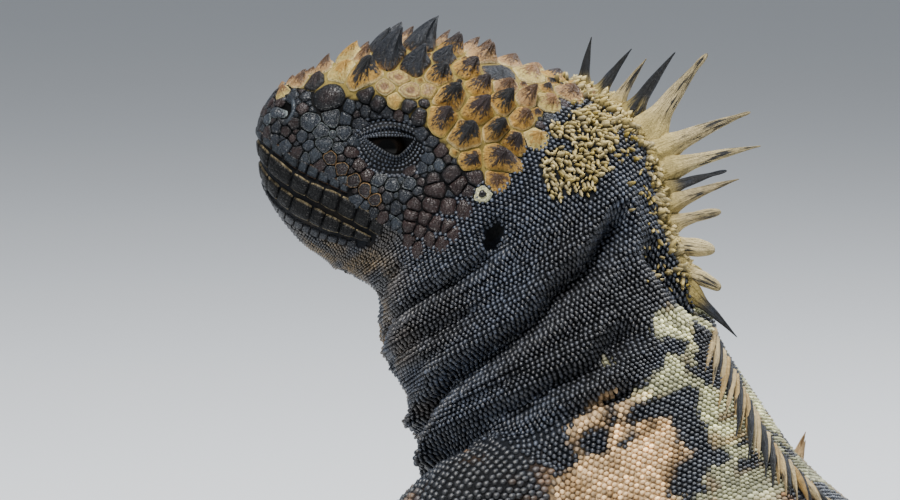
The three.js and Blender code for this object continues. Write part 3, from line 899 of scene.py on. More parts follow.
def outward(points: Array, faces: Array) -> Array:
    """The triangles, turned round if they enclose a negative volume."""
    a, b, c = points[faces[:, 0]], points[faces[:, 1]], points[faces[:, 2]]
    return faces if np.einsum("ij,ij->i", a, np.cross(b, c)).sum() > 0 else faces[:, ::-1]


def loft(rings: Array, tip: Array | None = None, foot: Array | None = None) -> tuple[Array, Array]:
    """A closed skin over rings of points.

    Args:
        rings: An array of rings by sides by 3.
        tip: The point that closes the last ring, or its middle.
        foot: The point that closes the first ring, or its middle.

    Returns:
        Points and outward triangles.
    """
    ends = [rings[0].mean(0) if foot is None else foot, rings[-1].mean(0) if tip is None else tip]
    points = np.concatenate([rings.reshape(-1, 3), ends])
    return points, outward(points, loft_faces(rings.shape[0], rings.shape[1]))


@dataclass(frozen=True)
class ScaleShape:
    """A closed scale of few faces, one unit across its radius and one unit tall."""

    sides: int
    levels: tuple[tuple[float, float], ...]  # radius and height of each ring, from the foot up
    skew: float = 0.0  # how far the tip leans back, in radii
    keel: float = 0.0  # how far the middle line stands over the flanks

    def build(self) -> tuple[Array, Array, Array]:
        """Builds the scale.

        Returns:
            Its vertices, its triangles, and the rise of each vertex.
        """
        turn = 2 * np.pi * (np.arange(self.sides) + 0.5) / self.sides
        rows, rises = [], []
        for radius, height in self.levels:
            x = radius * np.cos(turn) - self.skew * max(height, 0) ** 1.5
            y = radius * np.sin(turn)
            z = height + self.keel * max(height, 0) * (1 - np.abs(np.sin(turn)) ** 0.7)
            rows.append(np.stack([x, y, z], -1))
            rises.append(np.full(self.sides, max(height, 0.0)))
        rings = np.stack(rows)
        points, faces = loft(rings, tip=np.array([-self.skew, 0, 1 + self.keel]))
        return points, faces, np.concatenate([*rises, [0.0, 1.0]])


class Shape(Enum):
    """The kinds of small scale."""

    BEAD = ScaleShape(6, ((1.0, -0.5), (0.86, 0.42)), 0.12)
    GRANULE = ScaleShape(7, ((1.0, -0.6), (0.9, 0.28), (0.5, 0.8)), 0.5)
    CONE = ScaleShape(6, ((1.0, -0.5), (0.76, 0.42)), 0.5)
    KEELED = ScaleShape(6, ((1.0, -0.6), (0.9, 0.35)), 0.55, 0.35)
    ROD = ScaleShape(5, ((0.95, -0.4), (0.85, 0.4), (0.5, 0.75)), 0.7)


@dataclass
class Seats:
    """Where many scales sit and how large they are, as arrays of one row a scale."""

    point: Array
    normal: Array
    lean: Array
    length: Array
    width: Array
    height: Array
    tint: Array
    tip: Array
    bake: Array
    place: Array | None = None  # at and turn

    def taken(self, keep: Array) -> "Seats":
        """Only some of the seats.

        Args:
            keep: Which ones, as a mask.

        Returns:
            Those seats.
        """
        values = {name: getattr(self, name) for name in self.__dataclass_fields__}
        return Seats(**{name: value if value is None else value[keep] for name, value in values.items()})


def grow_scales(shape: Shape, seats: Seats) -> MeshData:
    """Sets a copy of one scale on each seat.

    Args:
        shape: The kind of scale.
        seats: Where they sit.

    Returns:
        All the scales as one mesh.
    """
    unit_points, faces, rise = shape.value.build()
    count, each = len(seats.point), len(unit_points)
    lean = unit(seats.lean - seats.normal * np.einsum("ij,ij->i", seats.lean, seats.normal)[:, None])
    side = np.cross(seats.normal, lean)
    # The scale's own forward is against the lean, so that its skewed tip points along the lean.
    points = (
        seats.point[:, None]
        - lean[:, None] * (unit_points[:, 0] * seats.length[:, None])[..., None]
        - side[:, None] * (unit_points[:, 1] * seats.width[:, None])[..., None]
        + seats.normal[:, None] * (unit_points[:, 2] * seats.height[:, None])[..., None]
    )
    offset = np.arange(count) * each
    grain = np.empty((count, each, 3))
    grain[..., 0] = unit_points[:, 0] * 0.7 + (np.arange(count) * 3.7 % 97)[:, None]
    grain[..., 1] = unit_points[:, 1] * 2.2
    grain[..., 2] = unit_points[:, 2]
    bake = seats.bake[:, None] + unit_points[:, :2] * BAKE_PATCH
    # Painted shade: the ring at each scale's foot is darkened to 0.45 of its colour, as shade in the crevices between
    # scales.
    shade = np.where(rise < 0.05, 0.45, 1.0)[None, :, None]
    return MeshData(
        points.reshape(-1, 3),
        (faces[None] + offset[:, None, None]).reshape(-1, 3),
        (seats.tint[:, None] * shade).reshape(-1, 3),
        np.repeat(seats.tip, each, 0),
        np.tile(rise, count),
        grain.reshape(-1, 3),
        bake.reshape(-1, 2),
    )


# Finishes


class NodeGraph:
    """A small helper that adds nodes to a tree and links them."""

    def __init__(self, tree: bpy.types.NodeTree) -> None:
        """Keeps the tree."""
        self.tree = tree

    def add(self, kind: str, settings: dict | None = None, **inputs: object) -> bpy.types.Node:
        """Adds a node.

        Args:
            kind: The node's type, without the ShaderNode prefix.
            settings: Its properties.
            **inputs: Its sockets, by name with _ for a space or i0, i1 for a number, each a value or a socket.

        Returns:
            The node.
        """
        node = self.tree.nodes.new("ShaderNode" + kind)
        for key, value in (settings or {}).items():
            setattr(node, key, value)
        for key, value in inputs.items():
            by_number = key[0] == "i" and key[1:].isdigit()
            socket = node.inputs[int(key[1:]) if by_number else key.replace("_", " ")]
            if isinstance(value, bpy.types.NodeSocket):
                self.tree.links.new(value, socket)
            else:
                socket.default_value = value
        return node

    def math(self, operation: str, a: object, b: object = 0.0, clamp: bool = False) -> bpy.types.NodeSocket:
        """The result of one Math node, of two values or sockets."""
        return self.add("Math", {"operation": operation, "use_clamp": clamp}, i0=a, i1=b).outputs[0]

    def blend(self, share: object, a: object, b: object, kind: str = "MIX") -> bpy.types.NodeSocket:
        """The result of a colour mix of a and b by a share, each a value or a socket."""
        node = self.add("Mix", {"data_type": "RGBA", "blend_type": kind}, i0=share, i6=a, i7=b)
        return node.outputs[2]

    def ramp(
        self, value: object, low: float, high: float, to_low: float = 0.0, to_high: float = 1.0
    ) -> bpy.types.NodeSocket:
        """A smooth ramp of a value.

        Args:
            value: The socket.
            low: Where the ramp leaves to_low.
            high: Where it reaches to_high.
            to_low: The result below low.
            to_high: The result above high.

        Returns:
            The result's socket.
        """
        settings = {"interpolation_type": "SMOOTHSTEP"}
        node = self.add("MapRange", settings, i0=value, i1=low, i2=high, i3=to_low, i4=to_high)
        return node.outputs[0]


def new_material(name: str) -> tuple[bpy.types.Material, NodeGraph, bpy.types.Node]:
    """A material with a shader of its own.

    Args:
        name: The material's name.

    Returns:
        The material, its graph helper and its shader.
    """
    made = bpy.data.materials.new(name)
    made.use_nodes = True
    return made, NodeGraph(made.node_tree), made.node_tree.nodes["Principled BSDF"]


def new_group(name: str, inputs: dict[str, tuple[str, object]], outputs: dict[str, str]) -> tuple:
    """A shader node group with named sockets.

    Args:
        name: The group's name.
        inputs: Socket type and first value by name.
        outputs: Socket type by name.

    Returns:
        The tree, its graph helper, its input node and its output node.
    """
    tree = bpy.data.node_groups.new(name, "ShaderNodeTree")
    for label, (kind, value) in inputs.items():
        socket = tree.interface.new_socket(label, in_out="INPUT", socket_type=kind)
        if value is not None:
            socket.default_value = value
    for label, kind in outputs.items():
        tree.interface.new_socket(label, in_out="OUTPUT", socket_type=kind)
    return tree, NodeGraph(tree), tree.nodes.new("NodeGroupInput"), tree.nodes.new("NodeGroupOutput")


class Groups:
    """The node groups that several finishes share."""

    def __init__(self) -> None:
        """Builds each group once."""
        self.grain = self.build_grain()
        self.fibres = self.build_fibres()

    @staticmethod
    def build_grain() -> bpy.types.NodeTree:
        """Fine pits and wrinkles in space: a height for bump and a shade for colour.

        Returns:
            The group's tree.
        """
        tree, graph, source, sink = new_group(
            "hide grain",
            {"Scale": ("NodeSocketFloat", 900.0), "Cracks": ("NodeSocketFloat", 0.5)},
            {"Height": "NodeSocketFloat", "Shade": "NodeSocketFloat"},
        )
        place = graph.add("TexCoord").outputs["Object"]
        scale = source.outputs["Scale"]
        fine = graph.add("TexNoise", None, Vector=place, Scale=scale, Detail=4.0, Roughness=0.65).outputs[0]
        coarse_scale = graph.math("MULTIPLY", scale, 0.22)
        coarse = graph.add("TexNoise", None, Vector=place, Scale=coarse_scale, Detail=2.0).outputs[0]
        cells = graph.add("TexVoronoi", {"feature": "DISTANCE_TO_EDGE"}, Vector=place, Scale=scale).outputs[0]
        crack = graph.math("MULTIPLY", graph.ramp(cells, 0.0, 0.12, 1.0, 0.0), source.outputs["Cracks"])
        height = graph.math("SUBTRACT", graph.math("MULTIPLY", fine, 0.8), crack)
        shade = graph.math("ADD", graph.math("MULTIPLY", fine, 0.6), graph.math("MULTIPLY", coarse, 0.5))
        graph.tree.links.new(height, sink.inputs["Height"])
        graph.tree.links.new(shade, sink.inputs["Shade"])
        return tree

    @staticmethod
    def build_fibres() -> bpy.types.NodeTree:
        """Streaks that run with the horn's fibres, from the grain attribute.

        Returns:
            The group's tree.
        """
        tree, graph, source, sink = new_group(
            "horn fibres",
            {"Width": ("NodeSocketFloat", 3.0), "Contrast": ("NodeSocketFloat", 1.0)},
            {"Streak": "NodeSocketFloat", "Height": "NodeSocketFloat"},
        )
        place = graph.add("Attribute", {"attribute_name": "grain"}).outputs["Vector"]
        noise = graph.add(
            "TexNoise", None, Vector=place, Scale=source.outputs["Width"], Detail=3.0, Roughness=0.6, Distortion=0.3
        ).outputs[0]
        spread = graph.math("MULTIPLY", graph.math("SUBTRACT", noise, 0.5), source.outputs["Contrast"])
        graph.tree.links.new(spread, sink.inputs["Streak"])
        graph.tree.links.new(noise, sink.inputs["Height"])
        return tree


@dataclass(frozen=True)
class HornFinish:
    """Finish of skin, scales, bosses and spines, whose colours are stored on their meshes."""

    name: str
    gloss_rough: float = 0.36  # roughness of the dark parts
    crust_rough: float = 0.72  # roughness of the pale parts
    grain_scale: float = 1400.0
    cracks: float = 0.4
    bump: float = 0.35
    fibre_width: float = 3.0
    contrast: float = 1.2
    tip_from: float = 0.35  # rise where the tip's colour starts
    tip_full: float = 0.85
    fibre_bump: float = 0.3
    specular: float = 0.3

    def material(self, groups: Groups) -> bpy.types.Material:
        """Builds the material.

        Args:
            groups: The shared node groups.

        Returns:
            The material.
        """
        made, graph, shader = new_material(self.name)
        tint = graph.add("Attribute", {"attribute_name": "tint"}).outputs["Color"]
        tip = graph.add("Attribute", {"attribute_name": "tip"}).outputs["Color"]
        rise = graph.add("Attribute", {"attribute_name": "rise"}).outputs["Fac"]
        fibres = graph.add("Group", {"node_tree": groups.fibres}, Width=self.fibre_width, Contrast=self.contrast)
        grain = graph.add("Group", {"node_tree": groups.grain}, Scale=self.grain_scale, Cracks=self.cracks)
        level = graph.math("ADD", rise, fibres.outputs["Streak"])
        share = graph.ramp(level, self.tip_from, self.tip_full)
        colour = graph.blend(share, tint, tip)
        shade = graph.ramp(grain.outputs["Shade"], 0.3, 0.8, 0.62, 1.3)
        shades = graph.add("CombineColor", None, i0=shade, i1=shade, i2=shade).outputs[0]
        colour = graph.blend(1.0, colour, shades, "MULTIPLY")
        grey = graph.add("RGBToBW", None, i0=colour).outputs[0]
        rough = graph.ramp(grey, 0.02, 0.25, self.gloss_rough, self.crust_rough)
        rough = graph.math("ADD", rough, graph.math("MULTIPLY", grain.outputs["Shade"], 0.12))
        fibre_height = graph.math("MULTIPLY", fibres.outputs["Height"], self.fibre_bump * 4)
        height = graph.math("ADD", grain.outputs["Height"], fibre_height)
        bump = graph.add("Bump", None, Strength=self.bump, Distance=0.0002, Height=height).outputs[0]
        for socket, label in ((colour, "Base Color"), (rough, "Roughness"), (bump, "Normal")):
            graph.tree.links.new(socket, shader.inputs[label])
        shader.inputs["Specular IOR Level"].default_value = self.specular
        return made


@dataclass(frozen=True)
class EyeFinish:
    """Finish of the wet eyeball: a dark iris ring round a black pupil."""

    name: str = "wet eye"
    ball: float = 6.8  # the eyeball's radius, in mm
    pupil: float = 2.6  # the pupil's and the iris's radius, in mm along the ball
    iris: float = 5.2
    # The eye's own dark brown and black, darkened to near black as painted shade under the lids.
    black: Colour = (0.001, 0.001, 0.001, 1)
    brown: Colour = (0.0045, 0.0028, 0.0016, 1)
    edge_brown: Colour = (0.003, 0.002, 0.0015, 1)
    roughness: float = 0.12
    specular: float = 0.14

    def material(self, centre: Array, gaze: Array) -> bpy.types.Material:
        """Builds the material of one eye.

        Args:
            centre: The eyeball's centre, in mm.
            gaze: Its outward direction.

        Returns:
            The material.
        """
        made, graph, shader = new_material(self.name)
        place = graph.add("TexCoord").outputs["Object"]
        offset = graph.add("VectorMath", {"operation": "SUBTRACT"}, i0=place, i1=tuple(centre * MM)).outputs[0]
        along = graph.add("VectorMath", {"operation": "DOT_PRODUCT"}, i0=offset, i1=tuple(gaze)).outputs["Value"]
        size = graph.add("VectorMath", {"operation": "LENGTH"}, i0=offset).outputs["Value"]
        angle = graph.math("ARCCOSINE", graph.math("DIVIDE", along, size))
        radius = graph.math("MULTIPLY", angle, self.ball)
        noise = graph.add("TexNoise", None, Vector=place, Scale=2500.0, Detail=3.0).outputs[0]
        edge = graph.math("ADD", radius, graph.math("MULTIPLY", noise, 0.8))
        iris = graph.blend(graph.ramp(edge, self.iris, self.iris + 1.0), self.brown, self.edge_brown)
        colour = graph.blend(graph.ramp(edge, self.pupil, self.pupil + 0.6), self.black, iris)
        made.node_tree.links.new(colour, shader.inputs["Base Color"])
        shader.inputs["Roughness"].default_value = self.roughness
        shader.inputs["Specular IOR Level"].default_value = self.specular
        return made


@dataclass(frozen=True)
class FloorFinish:
    """Finish of the plain pale floor."""

    name: str = "pale floor"
    colour: Colour = (0.74, 0.75, 0.76, 1.0)
    shade: Colour = (0.6, 0.6, 0.6, 1.0)
    roughness: float = 0.85

    def material(self) -> bpy.types.Material:
        """Builds the material.

        Returns:
            The material.
        """
        made, graph, shader = new_material(self.name)
        place = graph.add("TexCoord").outputs["Object"]
        noise = graph.add("TexNoise", None, Vector=place, Scale=3.0, Detail=2.0).outputs[0]
        colour = graph.blend(graph.math("MULTIPLY", noise, 0.1), self.colour, self.shade)
        made.node_tree.links.new(colour, shader.inputs["Base Color"])
        shader.inputs["Roughness"].default_value = self.roughness
        return made


# The skin


class SkinSurface:
    """The finished skin's surface, for setting scales on it."""

    outside = 90.0  # how far out a ray starts, past any part of the head, in mm

    def __init__(self, skin: bpy.types.Object) -> None:
        """Builds the search tree over the skin's faces."""
        self.tree = BVHTree.FromObject(skin, bpy.context.evaluated_depsgraph_get())

    def nearest(self, points: Array) -> tuple[Array, Array, Array]:
        """The skin's nearest points.

        Args:
            points: Places in mm.

        Returns:
            Points on the skin, their face normals, and how far above the skin each place is.
        """
        places, normals, heights = np.empty_like(points), np.empty_like(points), np.empty(len(points))
        for i, point in enumerate(points * MM):
            place, normal, _, _ = self.tree.find_nearest(Vector(point))
            places[i], normals[i] = place, normal
            heights[i] = (Vector(point) - place).dot(normal)
        return places / MM, normals, heights / MM

    def cast(self, origins: Array, directions: Array) -> tuple[Array, Array, Array]:
        """Where rays from outside meet the skin.

        Args:
            origins: Points inside the body, in mm.
            directions: Outward directions. Each ray runs inwards against its own.

        Returns:
            Points on the skin, their normals, and which rays met it.
        """
        places, normals = np.zeros_like(origins), np.zeros_like(origins)
        hit = np.zeros(len(origins), bool)
        for i, (origin, direction) in enumerate(zip(origins, directions)):
            start = Vector((origin + direction * self.outside) * MM)
            place, normal, _, _ = self.tree.ray_cast(start, Vector(-direction))
            if place is not None:
                places[i], normals[i], hit[i] = np.array(place) / MM, normal, True
        return places, normals, hit


@dataclass
class Skin:
    """One skin over the whole animal, lofted, fused and smoothed where the limbs grow from the body."""

    groups: Groups
    body_sides: int = 156
    limb_sides: int = 28
    limb_rings: int = 52
    finish: HornFinish = HornFinish(
        "black hide", gloss_rough=0.6, crust_rough=0.85, grain_scale=1800, cracks=0.6, bump=0.5,
        tip_from=2.0, tip_full=3.0, specular=0.1,
    )
    # Stretches of the body and the step between their rings.
    stretches: tuple[tuple[float, float, float], ...] = (
        (FORM.tail_end + 0.4, -30, 5.0), (-30, 180, 2.7), (180, 235, 1.9), (235, 300, 1.3),
        (300, FORM.snout_end - 0.15, 1.05),
    )  # fmt: skip
    root_steps: tuple[float, ...] = (0.25, 0.5, 0.75, 1.0)  # weights of the smoothing where limbs grow out

    def body_places(self) -> Array:
        """Places of the body's rings, closer together towards the head.

        Returns:
            Places along the body, rising.
        """
        last = self.stretches[-1]
        places = []
        for low, high, step in self.stretches:
            places.append(np.linspace(low, high, int((high - low) / step), endpoint=high == last[1]))
        return np.concatenate(places)

    def body_mesh(self) -> tuple[Array, Array]:
        """The lofted body.

        Returns:
            Its points and triangles.
        """
        at = self.body_places()
        turn = np.arange(self.body_sides) * 360 / self.body_sides
        grid_at, grid_turn = np.meshgrid(at, turn, indexing="ij")
        points, _ = FORM.surface(grid_at.ravel(), grid_turn.ravel(), -SKIN_INSET)
        return loft(points.reshape(len(at), self.body_sides, 3))

    def limb_meshes(self, limb: Limb) -> list[tuple[Array, Array]]:
        """The lofted limb and its toes.

        Args:
            limb: The limb.

        Returns:
            Points and triangles of each, the limb first.
        """
        t = np.linspace(0, 1, self.limb_rings)
        pieces = [loft(limb.rings(t, self.limb_sides, -SKIN_INSET))]
        for number in range(len(limb.toes)):
            _, _, reach = limb.toe_axes(number)
            stations = (
                (0, 4, 2.4), (reach * 0.34, 4.8, 2.5), (reach * 0.7, 3.2, 2.1),
                (reach - 1.2, 2.1, 1.8), (reach + 0.4, 2.1, 1.1),
            )  # fmt: skip
            pieces.append(loft(limb.rod(number, stations, 18, 12)))
        return pieces

    @staticmethod
    def plain_object(name: str, points: Array, faces: Array) -> bpy.types.Object:
        """A mesh object without a finish.

        Args:
            name: The object's name.
            points: Its points, in mm.
            faces: Its triangles.

        Returns:
            The object.
        """
        mesh = bpy.data.meshes.new(name)
        mesh.from_pydata((points * MM).tolist(), [], faces.tolist())
        made = bpy.data.objects.new(name, mesh)
        bpy.context.scene.collection.objects.link(made)
        return made

    def fuse(self, body: bpy.types.Object, parts: list[bpy.types.Object]) -> None:
        """Joins the parts into the body and removes them.

        Args:
            body: The object that they are joined to.
            parts: Closed objects that reach into it.
        """
        for part in parts:
            modifier = body.modifiers.new("fuse", "BOOLEAN")
            modifier.operation = "UNION"
            modifier.solver = "MANIFOLD"
            modifier.object = part
            bpy.context.view_layer.objects.active = body
            bpy.ops.object.modifier_apply(modifier=modifier.name)
            bpy.data.objects.remove(part)

    def soften_roots(self, body: bpy.types.Object, spots: "SkinSpots") -> None:
        """Smooths the skin where limbs and toes grow out.

        Args:
            body: The fused skin.
            spots: What each of its vertices belongs to.
        """
        weight = spots.root_share()
        group = body.vertex_groups.new(name="roots")
        for before, step in zip((0.0, *self.root_steps), self.root_steps):
            chosen = np.nonzero((weight > before) & (weight <= step))[0].tolist()
            group.add(chosen, step, "REPLACE")
        modifier = body.modifiers.new("soften", "SMOOTH")
        modifier.factor = 0.6
        modifier.iterations = 14
        modifier.vertex_group = "roots"
        bpy.ops.object.modifier_apply(modifier=modifier.name)
        body.vertex_groups.clear()

    def build(self) -> bpy.types.Object:
        """Builds and paints the skin.

        Returns:
            The skin object.
        """
        body = self.plain_object("skin", *self.body_mesh())
        parts = []
        for limb in LIMBS:
            for number, (points, faces) in enumerate(self.limb_meshes(limb)):
                parts.append(self.plain_object(f"limb_{limb.index}_{number}", points, faces))
        bpy.ops.object.select_all(action="DESELECT")
        self.fuse(body, parts)
        spots = SkinSpots(body)
        self.soften_roots(body, spots)
        mesh = body.data
        mesh.shade_smooth()
        tint, crust = spots.colours()
        along, up, _ = HEAD.coordinates(spots.points)
        crown = in_shield(spots.at, spots.turn, along, up, 0.6) & (spots.body_far < 3)
        tint[crown] = Tint.YELLOW.rgb * 0.8
        face = on_face(along, up) & (spots.at > 318) & (spots.body_far < 3) & ~crown
        # Painted shade: the ear's hollow, the nostril and the eye's opening are painted jet black as shade in these
        # hollows; the face's skin between its plates is jet black as well.
        tint[face | (in_hollow(spots.points) & (spots.at > 300))] = Tint.JET.rgb
        nil = np.zeros(len(tint))
        paint(mesh, tint * np.where(crust > 0.4, 0.7, 0.55)[:, None], tint, nil, spots.points * MM)
        corners = np.empty(len(mesh.loops), np.int32)
        mesh.loops.foreach_get("vertex_index", corners)
        layer = mesh.uv_layers.get("OFBake") or mesh.uv_layers.new(name="OFBake")
        layer.data.foreach_set("uv", self.unseamed(spots.bake()[corners], mesh).astype(np.float32).ravel())
        mesh.materials.clear()
        mesh.materials.append(self.finish.material(self.groups))
        mesh.polygons.foreach_set("material_index", np.zeros(len(mesh.polygons), np.int32))
        return body

    @staticmethod
    def unseamed(corner_bake: Array, mesh: bpy.types.Mesh) -> Array:
        """Keeps each face on one side of the map, where the angle starts again.

        Args:
            corner_bake: The map's place of each corner.
            mesh: The skin's mesh.

        Returns:
            The places, with those of torn faces drawn together.
        """
        total = np.empty(len(mesh.polygons), np.int32)
        mesh.polygons.foreach_get("loop_total", total)
        face = np.repeat(np.arange(len(total)), total)
        high = np.zeros((len(total), 2))
        low = np.ones((len(total), 2))
        np.maximum.at(high, face, corner_bake)
        np.minimum.at(low, face, corner_bake)
        widest = 0.12  # share of the map that no whole face spans
        torn = ((high - low).max(1) > widest)[face]
        corner_bake[torn] = high[face][torn]
        return corner_bake


def tree_of(points: Array) -> KDTree:
    """A search tree over points.

    Args:
        points: One a row.

    Returns:
        The balanced tree.
    """
    tree = KDTree(len(points))
    for i, point in enumerate(points):
        tree.insert(point, i)
    tree.balance()
    return tree


class SkinSpots:
    """Which place of the body or limbs each vertex of the skin belongs to."""

    def __init__(self, skin: bpy.types.Object) -> None:
        """Finds the nearest sample of the body and of the limbs for each vertex.

        Args:
            skin: The skin object.
        """
        count = len(skin.data.vertices)
        flat = np.empty(3 * count)
        skin.data.vertices.foreach_get("co", flat)
        self.points = flat.reshape(-1, 3) / MM
        at, turn = np.meshgrid(np.arange(FORM.tail_end, FORM.snout_end, 2.5), np.arange(0, 360, 4), indexing="ij")
        at, turn = at.ravel(), turn.ravel()
        samples, _ = FORM.surface(at, turn, -SKIN_INSET)
        index, self.body_far = self.search(samples)
        self.at, self.turn = at[index], turn[index]
        t = np.linspace(0, 1, 60)
        rings = [limb.rings(t, 24, -SKIN_INSET).reshape(-1, 3) for limb in LIMBS]
        toes, owner = [], []
        for limb in LIMBS:
            for number in range(len(limb.toes)):
                root, along, reach = limb.toe_axes(number)
                for step in np.linspace(0.1, 1, 12):
                    toes.append(root + along * reach * step + [0, 0, 3])
                    owner.append((limb.index, 1 + 0.6 * step, 72.0 * number))
        limb_of = np.concatenate([np.repeat([limb.index for limb in LIMBS], len(rings[0])), [o[0] for o in owner]])
        t_of = np.concatenate([np.tile(np.repeat(t, 24), len(LIMBS)), [o[1] for o in owner]])
        turn_of = np.concatenate([np.tile(np.arange(24) * 15.0, 60 * len(LIMBS)), [o[2] for o in owner]])
        index, self.limb_far = self.search(np.concatenate([*rings, np.array(toes)]))
        self.limb, self.t, self.limb_turn = limb_of[index], t_of[index], turn_of[index]
        self.on_limb = self.limb_far < self.body_far

    def search(self, samples: Array) -> tuple[Array, Array]:
        """Finds the sample nearest each vertex.

        Args:
            samples: Points, one a row.

        Returns:
            The samples' indices and their distances.
        """
        tree = tree_of(samples)
        found = [tree.find(point) for point in self.points]
        return np.array([f[1] for f in found]), np.array([f[2] for f in found])

    def root_share(self) -> Array:
        """1 where body and limb meet, falling to 0 away from there."""
        return 1 - smooth_step(np.maximum(self.body_far, self.limb_far), 3, 11)

    def colours(self) -> tuple[Array, Array]:
        """What the skin's finish reads.

        Returns:
            Colour and crust of each vertex.
        """
        body, body_crust = Markings.body(self.at, self.turn)
        limb, limb_crust = Markings.limb(self.t, self.points)
        share = smooth_step(self.body_far - self.limb_far, -3, 3)
        return mix(body, limb, share), body_crust * (1 - share) + limb_crust * share

    def bake(self) -> Array:
        """Place of each vertex on the OFBake map.

        Returns:
            Two columns from 0 to 1.
        """
        region = np.where(self.on_limb, self.limb, -1)
        turn = np.where(self.on_limb, self.limb_turn, self.turn)
        return bake_place(region, np.where(self.on_limb, self.t, self.at), turn)


# The head's plates and bosses


@dataclass(frozen=True)
class TileKind:
    """A kind of plate or boss: its levels, from the foot up, and its colours."""

    levels: tuple[tuple[float, float], ...]  # share of the reach, share of the height
    sides: int = 20
    ridges: float = 0.0  # depth of the ridges that run up its flanks, as a share of the radius
    sink: float = 1.0
    inner: float = 0.0  # share of the reach inside which it has its tip's colour
    rim_rings: int = 2  # how many rings from the foot up have the rim's colour
    free: float = 1.45  # how far it spreads where no neighbour stops it, in reaches


@dataclass
class Tile:
    """One plate or boss, set by its place on the body, the reach of its cell and its height."""

    at: float
    turn: float
    reach: float
    height: float
    kind: str
    tint: Array
    tip: Array
    rim: Array
    squash: float = 1.0  # length over width
    slant: float = 0.0  # degrees its long axis turns from the body's direction
    lean: float = 0.15  # how far the tip leans back, in heights
    depth: float = 0.0  # how far down the tip's colour reaches


TILE_KINDS = {
    "boss": TileKind(
        ((1.0, -1.0), (0.99, 0.03), (0.95, 0.1), (0.86, 0.18), (0.72, 0.3),
         (0.56, 0.46), (0.4, 0.64), (0.25, 0.8), (0.12, 0.93)),
        sides=30, ridges=0.16, sink=1.2,
    ),
    "knob": TileKind(((1.0, -1.0), (0.99, 0.08), (0.93, 0.3), (0.78, 0.56), (0.55, 0.8), (0.3, 0.95)), ridges=0.03),
    "plate": TileKind(((1.0, -1.0), (0.985, 0.18), (0.92, 0.66), (0.74, 0.92), (0.4, 1.0)), sink=0.8, free=1.75),
    "grain": TileKind(((1.0, -1.0), (0.97, 0.3), (0.72, 0.85)), sides=12, sink=0.7, free=1.75),
    "rimmed": TileKind(
        ((1.0, -1.0), (0.99, 0.45), (0.95, 0.8), (0.87, 0.6), (0.66, 0.75), (0.36, 0.95)),
        sides=24, sink=0.8, rim_rings=3, free=1.9,
    ),
    "crater": TileKind(
        ((1.0, -1.0), (0.98, 0.5), (0.86, 1.0), (0.62, 0.8), (0.35, 0.5)), sides=18, sink=0.8, inner=0.5
    ),
    "ringed": TileKind(
        ((1.0, -1.0), (0.98, 0.3), (0.85, 0.8), (0.62, 0.65), (0.45, 0.5), (0.42, 0.9), (0.26, 1.25)),
        sides=18, sink=0.8, inner=0.43,
    ),
}  # fmt: skip


